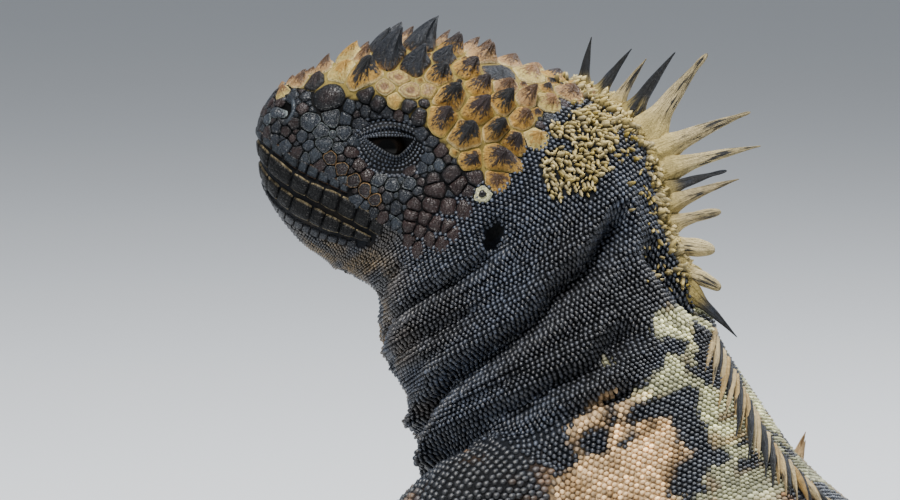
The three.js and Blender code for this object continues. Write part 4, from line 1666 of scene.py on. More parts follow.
class TileField:
    """Plates and bosses that share the skin between them in cells, like paving."""

    seam = 0.965  # share of a cell that its tile fills
    softness = 14  # how sharp the cells' corners are
    widest = 26.0  # how far away a neighbour may lie, in mm
    tip_at = 374.0  # where the snout's tip starts, whose normals come from the skin alone

    def __init__(self, surface: SkinSurface, seed: int) -> None:
        """Starts an empty field.

        Args:
            surface: The skin.
            seed: For the tiles' own differences.
        """
        self.surface = surface
        self.tiles: list[Tile] = []
        self.draw = np.random.default_rng(seed)

    def add(self, tile: Tile) -> None:
        """Adds a tile."""
        self.tiles.append(tile)

    def settle(self) -> None:
        """Finds each tile's centre and axes on the skin."""
        at = np.array([t.at for t in self.tiles])
        turn = np.array([t.turn for t in self.tiles])
        ahead, _ = FORM.surface(at + 1.0, turn)
        behind, _ = FORM.surface(at - 1.0, turn)
        rough, rough_normal = FORM.surface(at, turn, -SKIN_INSET)
        self.centre, normal, _ = self.surface.nearest(rough)
        self.normal = unit(normal + rough_normal * np.where(at > self.tip_at, 0.1, 1.0)[:, None])
        forward = unit(ahead - behind)
        self.forward = unit(forward - self.normal * np.einsum("ij,ij->i", forward, self.normal)[:, None])
        self.side = np.cross(self.normal, self.forward)
        self.bake = bake_place(-1, at, turn)

    def fill(self, at: Array, turn: Array, largest: float, smallest: float, make: Callable) -> None:
        """Fills the gaps between tiles with more of them, the largest gap first.

        Args:
            at: Places where a tile's middle may lie.
            turn: Their angles.
            largest: Greatest reach of a filling tile.
            smallest: Least.
            make: Returns a tile for a place, angle and reach.
        """
        points, _ = FORM.surface(at, turn, -SKIN_INSET)
        gap = np.full(len(points), 1e9)
        tile_at, tile_turn = np.array([(t.at, t.turn) for t in self.tiles]).T
        seats, _ = FORM.surface(tile_at, tile_turn, -SKIN_INSET)
        for seat, tile in zip(seats, self.tiles):
            gap = np.minimum(gap, np.linalg.norm(points - seat, axis=1) - 0.93 * tile.reach)
        ragged = self.draw.uniform(0.7, 1.0, len(points)) * largest
        while True:
            best = int(np.argmax(np.minimum(gap, ragged)))
            if gap[best] < smallest:
                return
            reach = float(min(gap[best], ragged[best]))
            self.add(make(float(at[best]), float(turn[best]), reach * 1.08))
            gap = np.minimum(gap, np.linalg.norm(points - points[best], axis=1) - 0.97 * reach)

    def near(self, points: Array, margin: float = 0.0) -> Array:
        """Whether each point lies within some tile's reach.

        Args:
            points: Points, one a row.
            margin: How much farther a tile reaches.

        Returns:
            True for the points within.
        """
        reach = np.array([t.reach for t in self.tiles]) + margin
        covered = np.zeros(len(points), bool)
        for centre, r in zip(self.centre, reach):
            covered |= ((points - centre) ** 2).sum(1) < r * r
        return covered

    def outline(self, index: int) -> Array:
        """How far a tile's edge lies in each direction round its centre.

        Args:
            index: Which tile.

        Returns:
            The distances, and their directions in radians.
        """
        tile, kind = self.tiles[index], TILE_KINDS[self.tiles[index].kind]
        turn = 2 * np.pi * np.arange(kind.sides) / kind.sides
        slant = turn - math.radians(tile.slant)
        oval = np.sqrt(np.cos(slant) ** 2 / tile.squash**2 + (np.sin(slant) * tile.squash) ** 2)
        free = kind.free * tile.reach / oval
        total = (1 / free) ** self.softness
        gaps = self.centre - self.centre[index]
        for j in np.nonzero((np.abs(gaps).max(1) < self.widest) & (np.arange(len(gaps)) != index))[0]:
            other = self.tiles[j]
            far = np.linalg.norm(gaps[j])
            if far > 1.7 * (tile.reach + other.reach) or far < 1e-6:
                continue
            x, y = gaps[j] @ self.forward[index], gaps[j] @ self.side[index]
            share = tile.reach / (tile.reach + other.reach)
            facing = np.cos(turn - math.atan2(y, x))
            total += np.where(facing > 0.02, np.maximum(facing, 0) / (share * far), 0) ** self.softness
        edge = total ** (-1 / self.softness)
        wobble = 1 + 0.03 * np.cos(3 * turn + self.draw.uniform(0, 6))
        wobble = wobble + 0.02 * np.cos(5 * turn + self.draw.uniform(0, 6))
        return edge * self.seam * wobble, turn

    def mesh_of(self, index: int) -> MeshData:
        """One tile's closed mesh.

        Args:
            index: Which tile.

        Returns:
            The mesh, its foot under the skin.
        """
        tile, kind = self.tiles[index], TILE_KINDS[self.tiles[index].kind]
        edge, turn = self.outline(index)
        centre, normal = self.centre[index], self.normal[index]
        forward, side = self.forward[index], self.side[index]
        phase = self.draw.uniform(0, 6.3, 2)
        count = int(self.draw.integers(7, 11))
        rings, rise = [], []
        _, _, crown = HEAD.axes()
        crown = crown - normal * (crown @ normal)
        tip_shift = (-0.5 * tile.lean * forward + 1.6 * tile.lean * crown) * tile.height
        tip_shift = tip_shift + self.draw.uniform(-0.06, 0.06) * side * tile.height
        for radius, height in kind.levels:
            ridge = 1 + kind.ridges * (1 - radius) * 2.2 * np.cos(count * turn + phase[0])
            ridge = ridge + kind.ridges * 0.6 * (0.2 < height < 0.9) * np.cos(3 * turn + phase[1])
            flat = (np.cos(turn) * edge * radius * ridge)[:, None] * forward
            flat = flat + (np.sin(turn) * edge * radius * ridge)[:, None] * side
            foot, foot_normal, _ = self.surface.nearest(centre + flat)
            if height < 0:
                rings.append(foot - foot_normal * kind.sink)
            else:
                way = unit(foot_normal * (1 - height) + normal * (0.4 + height))
                rings.append(foot + way * (tile.height * height) + tip_shift * height**1.6)
            rise.append(np.full(kind.sides, max(height, 0)))
        top = centre + normal * tile.height * (1.0 if kind.levels[-1][1] > 0.6 else kind.levels[-1][1]) + tip_shift
        rings = np.stack(rings)
        points, faces = loft(rings, tip=top)
        sides, levels = kind.sides, len(kind.levels)
        tint = np.tile(tile.tint, (len(points), 1))
        worn = np.tile(self.draw.uniform(0.25, 1.0, sides), kind.rim_rings)[:, None] if kind.rim_rings > 2 else 1.0
        tint[: kind.rim_rings * sides] = tile.rim * worn
        if levels > 6:
            tint[2 * sides : 3 * sides] = 0.5 * (tile.rim + tile.tint)
        inner = [k for k, (radius, _) in enumerate(kind.levels) if radius < kind.inner]
        if inner:
            tint[inner[0] * sides :] = tile.tip
        offset = self.draw.uniform(0, 90)
        spin = np.stack([np.cos(turn) * 2.4, np.sin(turn) * 2.4], -1)
        grain = np.concatenate([np.tile(spin, (levels, 1)), np.zeros((2, 2))])
        deep = np.concatenate([*rise, [0.0, 1.0]])
        stored = np.where(deep > 0.02, deep + tile.depth, deep)
        grain = np.column_stack([grain * (1.25 - deep)[:, None] + offset, 0.55 * deep + offset])
        bake_spread = np.concatenate([np.tile(spin / 2.4, (levels, 1)), np.zeros((2, 2))]) * BAKE_PATCH * 1.5
        tips = np.tile(tile.tip, (len(points), 1))
        return MeshData(points, faces, tint, tips, stored, grain, self.bake[index] + bake_spread)

    def build(self, kinds: tuple[str, ...]) -> MeshData:
        """All the tiles of some kinds, as one mesh."""
        return MeshData.joined([self.mesh_of(i) for i, t in enumerate(self.tiles) if t.kind in kinds])


SHIELD_EDGE = ((-40, 9), (-29, 4.5), (-20, 5), (-9, 11), (6, 12.5), (16, 8), (34, 3))  # along, up


def in_shield(at: Array, turn: Array, along: Array, up: Array, margin: float) -> Array:
    """Whether places lie in the crown's shield of bosses.

    Args:
        at: Places along the body.
        turn: Angles in degrees.
        along: Their place along the head.
        up: Their height in the head's frame.
        margin: How far inside the shield's edge they must lie.

    Returns:
        True for the places inside.
    """
    edge = line_at(along, SHIELD_EDGE) + margin
    angle = from_midline(turn)
    rear = np.interp(angle, (0, 20, 32, 52, 62, 80), (315.5, 317.5, 320, 319.5, 315, 313)) + margin
    return (up > edge) & (at > rear) & (angle < 90)


def line_at(along: Array, line: tuple[tuple[float, float], ...]) -> Array:
    """Height of a line of places (along, up)."""
    return np.interp(along, *zip(*line))


# Where the face ends over the rows of lip plates, and the skin that those rows cover: along, up.
FACE_EDGE = ((-16, -18.5), (-9, -18), (2, -16), (4, -12.9), (11, -12.4), (17, -11.9), (27, -11.5), (36, -9.8))
LIPS_TOP = ((-9, -18.4), (-3, -16.8), (4, -13.6), (10, -13), (16, -12.5), (27, -12.1), (36, -10.3))
LIPS_FOOT = ((-7, -26.5), (0, -29.2), (7, -31), (16, -31.2), (24, -29), (36, -25.2))


def on_face(along: Array, up: Array) -> Array:
    """Whether places lie on the face, between the shield, the lips, the eye and the cheek.

    Args:
        along: Places along the head.
        up: Their heights in the head's frame.

    Returns:
        True for the places on it.
    """
    lip = line_at(along, FACE_EDGE)
    eye = ((along + 0.4) / 10.6) ** 2 + ((up - 1.6) / 8.6) ** 2 < 1
    nostril = (((along - 30.4) / 2.6) ** 2 + ((up + 2.2) / 3.7) ** 2 < 1) & (along < 32.6)
    return (up > lip) & (along > -27 - 0.4 * up) & ~eye & ~nostril


class Look(Enum):
    """The looks of the head's bosses: flank, tip and rim."""

    YELLOW = (Tint.YELLOW, Tint.OCHRE, Tint.CREAM)
    OCHRE = (Tint.OCHRE, Tint.BROWN, Tint.CREAM)
    DARK_TIP = (Tint.OCHRE, Tint.BLACK, Tint.CREAM)
    BROWN_TIP = (Tint.OCHRE, Tint.PURPLE_BROWN, Tint.YELLOW)
    BLACK = (Tint.GOLD_BROWN, Tint.BLUE_BLACK, Tint.TAN)
    TAN = (Tint.TAN, Tint.BROWN, Tint.CREAM)
    PALE = (Tint.YELLOW, Tint.RUST, Tint.CREAM)
    SWOLLEN = (Tint.BLACK, Tint.PURPLE_BROWN, Tint.BLACK)
    GREY = (Tint.BLUE_GREY, Tint.BLUE_BLACK, Tint.SLATE)
    RINGED = (Tint.GREEN_CREAM, Tint.BLACK, Tint.GREEN_CREAM)
    RIDGE = (Tint.BLACK, Tint.PURPLE_BROWN, Tint.TAN)
    RIMMED = (Tint.BLUE_BLACK, Tint.BLUE_GREY, Tint.PALE_GREY)
    LIP = (Tint.JET, Tint.JET, Tint.BONE)
    LOREAL = (Tint.BLACK, Tint.BLUE_GREY, Tint.RUST)
    LEAF = (Tint.PURPLE_BROWN, Tint.PURPLE_BROWN, Tint.BLACK)
    GLOSS = (Tint.BLACK, Tint.BLUE_BLACK, Tint.BLUE_GREY)

    @property
    def depth(self) -> float:
        """How far down the flanks the tip's colour reaches, as a share of the height."""
        return {"BLACK": 0.42, "DARK_TIP": 0.1, "BROWN_TIP": 0.06}.get(self.name, 0.0)


@dataclass
class HeadArmour:
    """The shield of bosses on the crown and the plates of the face."""

    surface: SkinSurface
    # Bosses from the left side: at, turn, half width, height, look.
    bosses: tuple = (
        (363, 34, 5.0, 2.6, Look.YELLOW), (363, 8, 4.6, 3.6, Look.YELLOW), (357, 44, 6.0, 5.0, Look.DARK_TIP),
        (353, 27, 6.2, 7.6, Look.BLACK), (355, 8, 4.2, 4.6, Look.BLACK), (350.5, -9, 4.2, 4.6, Look.TAN),
        (347.5, 8, 4.4, 7.4, Look.BLACK), (347, 33, 4.6, 5.2, Look.BLACK), (344, -9, 3.6, 4.6, Look.TAN),
        (342, 11, 3.8, 4.8, Look.BROWN_TIP), (342.5, 22, 3.2, 3.6, Look.BLACK), (341.5, 39, 3.9, 3.6, Look.DARK_TIP),
        (338.5, -8, 4.2, 4.4, Look.TAN), (336, 9, 4.6, 4.6, Look.TAN), (337, 28, 4.2, 3.8, Look.BROWN_TIP),
        (331.5, 22, 5.6, 1.4, Look.BLACK), (337, 51, 5.0, 4.8, Look.DARK_TIP), (333, 38, 4.2, 3.8, Look.BROWN_TIP),
        (329, 33, 4.3, 2.6, Look.TAN), (327, 14, 5.0, 2.8, Look.PALE), (330, 53, 5.2, 4.8, Look.BROWN_TIP),
        (335.5, 63, 4.8, 4.0, Look.BROWN_TIP), (327.5, 44, 4.2, 4.6, Look.DARK_TIP), (324.5, 36, 3.6, 4.0, Look.TAN),
        (329, 66, 4.7, 4.4, Look.DARK_TIP), (324.5, 59, 4.0, 3.8, Look.DARK_TIP), (322, 49, 3.5, 3.0, Look.OCHRE),
        (318.5, 70, 4.9, 3.8, Look.BROWN_TIP), (319.5, 61, 3.5, 3.2, Look.BROWN_TIP),
        (316.5, 53, 2.8, 2.0, Look.YELLOW),
        (314.5, 76, 2.9, 1.8, Look.OCHRE), (323, 77, 3.4, 2.4, Look.BROWN_TIP), (368, 10, 4.0, 3.2, Look.TAN),
        (372.5, 24, 3.2, 2.4, Look.TAN), (368.5, 34, 3.4, 2.4, Look.SWOLLEN), (375.5, 40, 2.4, 1.8, Look.PALE),
        (359, 20, 3.2, 3.0, Look.TAN), (320.5, 34, 3.4, 2.4, Look.PALE), (319, 20, 3.6, 2.6, Look.TAN),
    )  # fmt: skip
    # Low bosses along the middle line: at, half width, height, look.
    middle: tuple = (
        (370.5, 3.2, 2.0, Look.TAN), (331, 4.4, 3.8, Look.TAN), (323, 4.4, 3.0, Look.BROWN_TIP),
        (316, 3.8, 2.2, Look.PALE),
    )  # fmt: skip
    # Face plates: at, turn, half width, height, look, kind, length over width, slant.
    plates: tuple = (
        (348.5, 46, 3.4, 0.9, Look.PALE, "crater", 1.2, 0), (345, 53, 3.3, 0.9, Look.PALE, "crater", 1.2, 0),
        (350.5, 54, 3.0, 0.8, Look.PALE, "crater", 1.3, 0), (341.5, 50, 2.8, 1.0, Look.PALE, "plate", 1.2, 0),
        (347, 61, 2.4, 0.9, Look.YELLOW, "plate", 1.0, 0), (353.5, 59, 2.8, 1.5, Look.SWOLLEN, "knob", 1.15, 10),
        (350.3, 63, 2.6, 1.5, Look.SWOLLEN, "knob", 1.1, 0), (343.6, 61.5, 2.4, 1.4, Look.SWOLLEN, "knob", 1.1, 0),
        (340.3, 64.5, 2.8, 1.6, Look.SWOLLEN, "knob", 1.1, -20), (340.8, 58, 1.7, 1.0, Look.SWOLLEN, "knob", 1.0, 0),
        (363, 58, 5.4, 1.9, Look.SWOLLEN, "knob", 1.35, 0), (365, 78, 2.9, 0.9, Look.RIMMED, "rimmed", 1.0, 0),
        (359.5, 74, 3.0, 0.9, Look.RIMMED, "rimmed", 1.2, 0), (361, 84, 2.4, 0.8, Look.RIMMED, "rimmed", 1.0, 0),
        (358.6, 91, 2.5, 0.8, Look.RIMMED, "rimmed", 1.1, -15), (355.4, 96.8, 2.0, 0.8, Look.RIDGE, "rimmed", 1.3, -20),
        (351, 99.7, 2.0, 0.8, Look.RIDGE, "rimmed", 1.45, -20),
        (346.2, 102.6, 2.0, 0.8, Look.RIDGE, "rimmed", 1.55, -20),
        (341.5, 105, 2.0, 0.8, Look.RIDGE, "rimmed", 1.55, -20),
        (336.7, 107.3, 1.9, 0.8, Look.RIDGE, "rimmed", 1.5, -25),
        (354.6, 91.2, 1.7, 0.7, Look.RIMMED, "rimmed", 1.2, -15),
        (356.4, 66.5, 2.1, 0.9, Look.GREY, "plate", 1.0, 0), (356.4, 74, 2.2, 0.9, Look.GREY, "plate", 1.0, 0),
        (355, 82.5, 2.2, 0.8, Look.RIMMED, "rimmed", 1.0, 0), (350.8, 91.5, 1.9, 0.8, Look.LEAF, "plate", 1.5, -25),
        (347, 95.3, 1.9, 0.8, Look.LEAF, "plate", 1.5, -25), (343.3, 98.2, 1.8, 0.8, Look.LEAF, "plate", 1.4, -15),
        (339.6, 98.6, 2.0, 0.9, Look.RIMMED, "rimmed", 1.6, 12),
        (335.2, 98.2, 2.0, 0.9, Look.RIMMED, "rimmed", 1.6, 25),
        (331.2, 95, 2.0, 0.9, Look.RIMMED, "rimmed", 1.5, 35), (327, 90.5, 2.2, 0.9, Look.SWOLLEN, "plate", 1.3, -20),
        (324.5, 94, 3.3, 1.2, Look.LEAF, "knob", 1.2, -15), (320.3, 89, 3.3, 1.2, Look.LEAF, "knob", 1.2, -15),
        (324, 86, 3.0, 1.0, Look.SWOLLEN, "plate", 1.25, -15), (319, 82.5, 2.9, 0.9, Look.SWOLLEN, "plate", 1.25, -15),
        (321.5, 101, 2.7, 1.4, Look.LEAF, "knob", 1.25, -30), (317, 97.5, 2.7, 1.4, Look.LEAF, "knob", 1.25, -30),
        (325.5, 103.5, 2.3, 1.1, Look.LEAF, "knob", 1.2, -30), (323.5, 108.5, 2.5, 1.3, Look.LEAF, "knob", 1.35, -30),
        (319.2, 107, 2.4, 1.3, Look.LEAF, "knob", 1.3, -30), (315, 104.5, 2.6, 1.3, Look.LEAF, "knob", 1.3, -30),
        (312, 101, 2.4, 1.2, Look.LEAF, "knob", 1.25, -30), (320.8, 113.5, 2.3, 1.2, Look.LEAF, "knob", 1.35, -30),
        (316.5, 111.5, 2.3, 1.2, Look.LEAF, "knob", 1.3, -30), (312.3, 108.5, 2.3, 1.2, Look.LEAF, "knob", 1.3, -30),
        (313.5, 93.5, 2.4, 1.2, Look.LEAF, "knob", 1.2, -30), (316.5, 117, 2.1, 1.0, Look.LEAF, "knob", 1.3, -30),
        (312, 114, 2.1, 1.0, Look.LEAF, "knob", 1.3, -30), (308.5, 104, 2.1, 1.0, Look.LEAF, "knob", 1.2, -30),
        (309, 99.5, 2.1, 1.0, Look.LEAF, "knob", 1.2, -30), (317.2, 88.6, 2.0, 1.0, Look.SWOLLEN, "plate", 1.2, 0),
        (334, 104, 1.9, 0.7, Look.GLOSS, "plate", 1.5, 25), (330, 100.5, 2.0, 0.7, Look.GLOSS, "plate", 1.5, 20),
        (329.5, 107, 1.9, 0.7, Look.GLOSS, "plate", 1.5, 30), (333, 90.5, 1.6, 0.6, Look.SWOLLEN, "plate", 1.2, 0),
        (313.6, 84.0, 2.1, 1.2, Look.RINGED, "ringed", 1.0, 0),
    )  # fmt: skip

    def field_of(self) -> TileField:
        """Sets all the tiles, mirrored to the right with small differences.

        Returns:
            The settled field.
        """
        tiles = TileField(self.surface, SEED)
        draw = np.random.default_rng(SEED + 1)
        for side in (1, -1):
            loose = 0.0 if side > 0 else 0.7
            for at, turn, reach, height, look in self.bosses:
                if side < 0 and turn < 0:
                    continue
                flank, tip, rim = (t.rgb * draw.uniform(0.88, 1.12) for t in look.value)
                place = at + loose * draw.uniform(-1, 1)
                angle = side * turn + 1.6 * loose * draw.uniform(-1, 1)
                tall = height * draw.uniform(1.28 - 0.1 * loose, 1.28 + 0.1 * loose)
                look_of = {"lean": 0.34, "depth": look.depth}
                tiles.add(Tile(place, angle, reach * 1.12, tall, "boss", flank, tip, rim, **look_of))
            for at, turn, reach, height, look, kind, squash, slant in self.plates:
                flank, tip, rim = (t.rgb * draw.uniform(0.85, 1.15) for t in look.value)
                place = at + 0.4 * loose * draw.uniform(-1, 1)
                shape = (squash, side * slant, 0.0)
                tiles.add(Tile(place, side * turn, reach, height, kind, flank, tip, rim, *shape))
        for at, reach, height, look in self.middle:
            flank, tip, rim = (t.rgb for t in look.value)
            tiles.add(Tile(at, draw.uniform(-2, 2), reach, height, "boss", flank, tip, rim, lean=0.25))
        self.fill_shield(tiles, draw)
        self.fill_face(tiles, draw)
        tiles.settle()
        return tiles

    @staticmethod
    def grid(low: float, high: float, turn: float) -> tuple[Array, Array, Array, Array]:
        """Close places on both sides of the head.

        Args:
            low: Where they start along the body.
            high: Where they end. Past 376 they go on to the snout's end.
            turn: How far down the sides they reach, in degrees.

        Returns:
            at, turn, and the coordinates along and up of each.
        """
        front = np.linspace(high, FORM.snout_end - 0.1, 14) if high > 376 else []
        places = np.concatenate([np.arange(low, high, 0.55), front])
        at, angle = np.meshgrid(places, np.arange(-turn, turn + 0.1, 1.3), indexing="ij")
        at, angle = at.ravel(), angle.ravel()
        points, _ = FORM.surface(at, angle, -SKIN_INSET)
        along, up, _ = HEAD.coordinates(points)
        return at, angle, along, up

    def fill_shield(self, tiles: TileField, draw: np.random.Generator) -> None:
        """Fills the crown between the named bosses with small ones.

        Args:
            tiles: The field.
            draw: For the small ones' differences.
        """
        at, turn, along, up = self.grid(314, 376.5, 84)
        inside = in_shield(at, turn, along, up, 0.8)
        looks = (Look.OCHRE, Look.TAN, Look.BROWN_TIP, Look.YELLOW, Look.DARK_TIP)

        def small_boss(place: float, angle: float, reach: float) -> Tile:
            """A small boss with one of the crown's looks.

            Args:
                place: Its place along the body.
                angle: Its angle.
                reach: The reach of its cell.

            Returns:
                The boss.
            """
            look = looks[int(draw.integers(len(looks)))]
            flank, tip, rim = (t.rgb * draw.uniform(0.85, 1.1) for t in look.value)
            tall = reach * draw.uniform(0.45, 1.0)
            return Tile(place, angle, reach, tall, "boss", flank, tip, rim, lean=0.3, depth=look.depth)

        tiles.fill(at[inside], turn[inside], 3.4, 0.9, small_boss)

    def fill_face(self, tiles: TileField, draw: np.random.Generator) -> None:
        """Fills the face between its named plates with small uneven ones.

        Args:
            tiles: The field.
            draw: For the small ones' differences.
        """
        at, turn, along, up = self.grid(318, 376.8, 179)
        inside = on_face(along, up) & ~in_shield(at, turn, along, up, -0.4)
        looks = (Look.GLOSS, Look.SWOLLEN, Look.GREY, Look.GLOSS, Look.LEAF, Look.RIMMED)

        def small_plate(place: float, angle: float, reach: float) -> Tile:
            """A small plate or granule with one of the face's looks.

            Args:
                place: Its place along the body.
                angle: Its angle.
                reach: The reach of its cell.

            Returns:
                The plate.
            """
            look = looks[int(draw.integers(len(looks)))]
            flank, tip, rim = (t.rgb * draw.uniform(0.75, 1.3) for t in look.value)
            kind = "grain" if reach < 1.25 else "plate"
            squash = draw.uniform(1.0, 1.25)
            return Tile(place, angle, reach, 0.3 + 0.2 * reach, kind, flank, tip, rim, squash, -10.0, 0.0)

        tiles.fill(at[inside], turn[inside], 1.75, 0.62, small_plate)


# Lips


@dataclass(frozen=True)
class LipRow:
    """A row of plates round the snout between two lines of places (along, up), from the mouth's corner on."""

    name: str
    upper: tuple[tuple[float, float], ...]
    lower: tuple[tuple[float, float], ...]
    start: float
    plates: int
    height: float
    look: Look
    uneven: float = 0.18


class Lips:
    """The labial plates, which run from one corner of the mouth round the snout to the other."""

    rows = (
        LipRow(
            "upper lip",
            ((-9, -18.6), (-3, -16.9), (2, -16.4), (7, -16.2), (11, -16.6), (17, -17.0), (21, -16.6), (25, -15.8),
             (36, -13.5)),
            ((-9, -22.3), (18, -21.9), (27, -20.5), (36, -17.6)), -8.5, 9, 0.8, Look.LIP,
        ),
        LipRow(
            "lower lip", ((-7, -23.3), (18, -22.8), (27, -21.4), (36, -18.6)),
            ((-7, -25.0), (0, -26.6), (7, -28.0), (16, -28.2), (24, -26.4), (36, -23.0)), -6.5, 9, 0.8, Look.LIP,
        ),
        LipRow(
            "grey row", ((4, -13.4), (10, -12.9), (16, -12.4), (22, -12.6), (27, -12.0), (36, -10.2)),
            ((4, -15.6), (11, -15.9), (17, -16.3), (21, -16.0), (25, -15.1), (36, -13.0)), 5.0, 10, 0.8, Look.LOREAL,
        ),
        LipRow(
            "chin row", ((-4, -26.3), (0, -27.2), (7, -28.6), (16, -28.8), (24, -27.0), (36, -23.6)),
            ((-4, -28.2), (0, -29.4), (7, -31.2), (16, -31.4), (24, -29.2), (36, -25.4)), -3.5, 15, 0.6, Look.GLOSS,
        ),
    )  # fmt: skip
    bend_from = 21.0  # where the row leaves the side and turns round the snout
    turn_length = 15.0  # how long that turn is, along the row

    def __init__(self, surface: SkinSurface) -> None:
        """Keeps the skin."""
        self.surface = surface

    def rail(self, s: Array) -> tuple[Array, Array]:
        """Where a row's rays start and how they point, for a place s from the side to the front.

        Args:
            s: Millimetres along the row; past bend_from the ray turns to the front over a quarter circle.

        Returns:
            Start along the head, and the ray's angle from straight left towards the front, in radians.
        """
        along = np.minimum(s, self.bend_from)
        angle = np.clip((s - self.bend_from) / self.turn_length, 0, 1) * math.pi / 2
        return along, angle

    def place(self, s: Array, up: Array, side: int) -> tuple[Array, Array]:
        """Points and normals of the skin on a row.

        Args:
            s: Places along the row.
            up: Heights in the head's frame.
            side: 1 left, -1 right.

        Returns:
            Points and normals.
        """
        forward, left, _ = HEAD.axes()
        along, angle = self.rail(s)
        origins = HEAD.point(along, up, np.zeros_like(s))
        rays = unit(np.cos(angle)[:, None] * left * side + np.sin(angle)[:, None] * forward)
        points, normals, _ = self.surface.cast(origins, rays)
        return points, normals

    def front_along(self, s: Array) -> Array:
        """How far forward a place on a row lies, for reading the rows' lines.

        Args:
            s: Places along the row.

        Returns:
            Places along the head.
        """
        along, angle = self.rail(s)
        return along + np.sin(angle) * 14.0

    def plate(self, row: LipRow, s0: float, s1: float, side: int, draw: np.random.Generator) -> MeshData:
        """One domed plate.

        Args:
            row: The plate's row.
            s0: Where it starts along the row.
            s1: Where it ends.
            side: 1 left, -1 right.
            draw: For its own height, colour and grain.

        Returns:
            The plate's closed mesh.
        """
        nu, nv = 13, 9
        u, v = np.meshgrid(np.linspace(-1, 1, nu), np.linspace(-1, 1, nv), indexing="ij")
        u, v = u.ravel(), v.ravel()
        # A square with round corners: both lines and both ends draw in at the corners.
        x = u * np.sqrt(1 - 0.22 * v * v)
        y = v * np.sqrt(1 - 0.18 * u * u)
        s = (s0 + s1) / 2 + (x + 0.12 * y) * (s1 - s0) / 2 * 0.975
        far = self.front_along(s)
        up_line, low_line = line_at(far, row.upper), line_at(far, row.lower)
        up = (up_line + low_line) / 2 + y * (up_line - low_line) / 2 * 0.93
        points, normals = self.place(s, up, side)
        edge = np.maximum(np.abs(u), np.abs(v))
        dome = np.sqrt(np.clip(1 - edge**4, 0, 1))
        height = row.height * draw.uniform(0.85, 1.15)
        top = points + normals * (height * (0.15 + 0.85 * dome))[:, None]
        under = points - normals * 0.9
        grid = np.arange(nu * nv).reshape(nu, nv)
        a, b, c, d = (g.ravel() for g in (grid[:-1, :-1], grid[1:, :-1], grid[1:, 1:], grid[:-1, 1:]))
        upper_faces = np.concatenate([np.stack([a, b, c], -1), np.stack([a, c, d], -1)])
        rim = np.concatenate([grid[:, 0], grid[-1, 1:], grid[-2::-1, -1], grid[0, -2:0:-1]])
        nxt = np.roll(rim, -1)
        base = nu * nv
        skirt = np.concatenate([np.stack([rim, rim + base, nxt + base], -1), np.stack([rim, nxt + base, nxt], -1)])
        lower_faces = upper_faces[:, ::-1] + base
        all_points = np.concatenate([top, under])
        faces = outward_here(all_points, np.concatenate([upper_faces, skirt, lower_faces]))
        flank, tip, pale = (t.rgb * draw.uniform(0.85, 1.15) for t in row.look.value)
        share = np.concatenate([dome, np.zeros(base)])
        pale_edge = smooth_step(np.abs(v), 0.8, 1.0) * draw.uniform(0.1, 0.5, nu * nv)
        tint = mix(flank, pale, np.concatenate([pale_edge, np.zeros(base)]))
        grain = np.column_stack([np.tile(s, 2) * 0.5, np.tile(up, 2) * 1.6, np.full(2 * base, draw.uniform(0, 90))])
        at_guess = FORM.snout_end - 8 - (34 - far.mean())
        bake = bake_place(-1, at_guess, side * 112.0 - up.mean())
        bake = bake + np.tile(np.stack([u, v], -1), (2, 1)) * BAKE_PATCH
        return MeshData(all_points, faces, tint, np.tile(tip, (2 * base, 1)), share, grain, bake)

    def build(self) -> MeshData:
        """All the rows of both sides.

        Returns:
            One mesh.
        """
        draw = np.random.default_rng(SEED + 5)
        parts = []
        end = self.bend_from + self.turn_length
        for row in self.rows:
            cuts = np.linspace(row.start, end, row.plates + 1)
            step = cuts[1] - cuts[0]
            for side in (1, -1):
                here = cuts.copy()
                here[1:-1] += draw.uniform(-row.uneven, row.uneven, row.plates - 1) * step
                parts += [self.plate(row, a, b, side, draw) for a, b in zip(here[:-1], here[1:])]
        return MeshData.joined(parts)


def outward_here(points: Array, faces: Array) -> Array:
    """The triangles, turned round if they enclose a negative volume about their own middle."""
    return outward(points - points.mean(0), faces)


def in_hollow(points: Array) -> Array:
    """Whether places lie in the ear's hollow, the nostril or the eye's opening.

    Args:
        points: Points of the row frame.

    Returns:
        True for the points in one.
    """
    along, up, _ = HEAD.coordinates(points)
    ear = ((along + 36.5) / 2.6) ** 2 + ((up + 8.5) / 4.2) ** 2 < 1
    nostril = ((along - 30.4) / 2.2) ** 2 + ((up + 2.2) / 3.2) ** 2 < 1
    eye = ((along + 0.4) / 9.6) ** 2 + ((up - 1.6) / 7.6) ** 2 < 1
    return ear | nostril | eye


def on_lips(points: Array) -> Array:
    """Whether places lie under the rows of lip plates.

    Args:
        points: Points of the row frame.

    Returns:
        True for the points under them.
    """
    along, up, out = HEAD.coordinates(points)
    high = line_at(along, LIPS_TOP)
    low = line_at(along, LIPS_FOOT)
    low = low + 4.5 * smooth_step(along, 23, 27) * (1 - smooth_step(np.abs(out), 3, 10))
    return (along > -7.5) & (up < high) & (up > low)


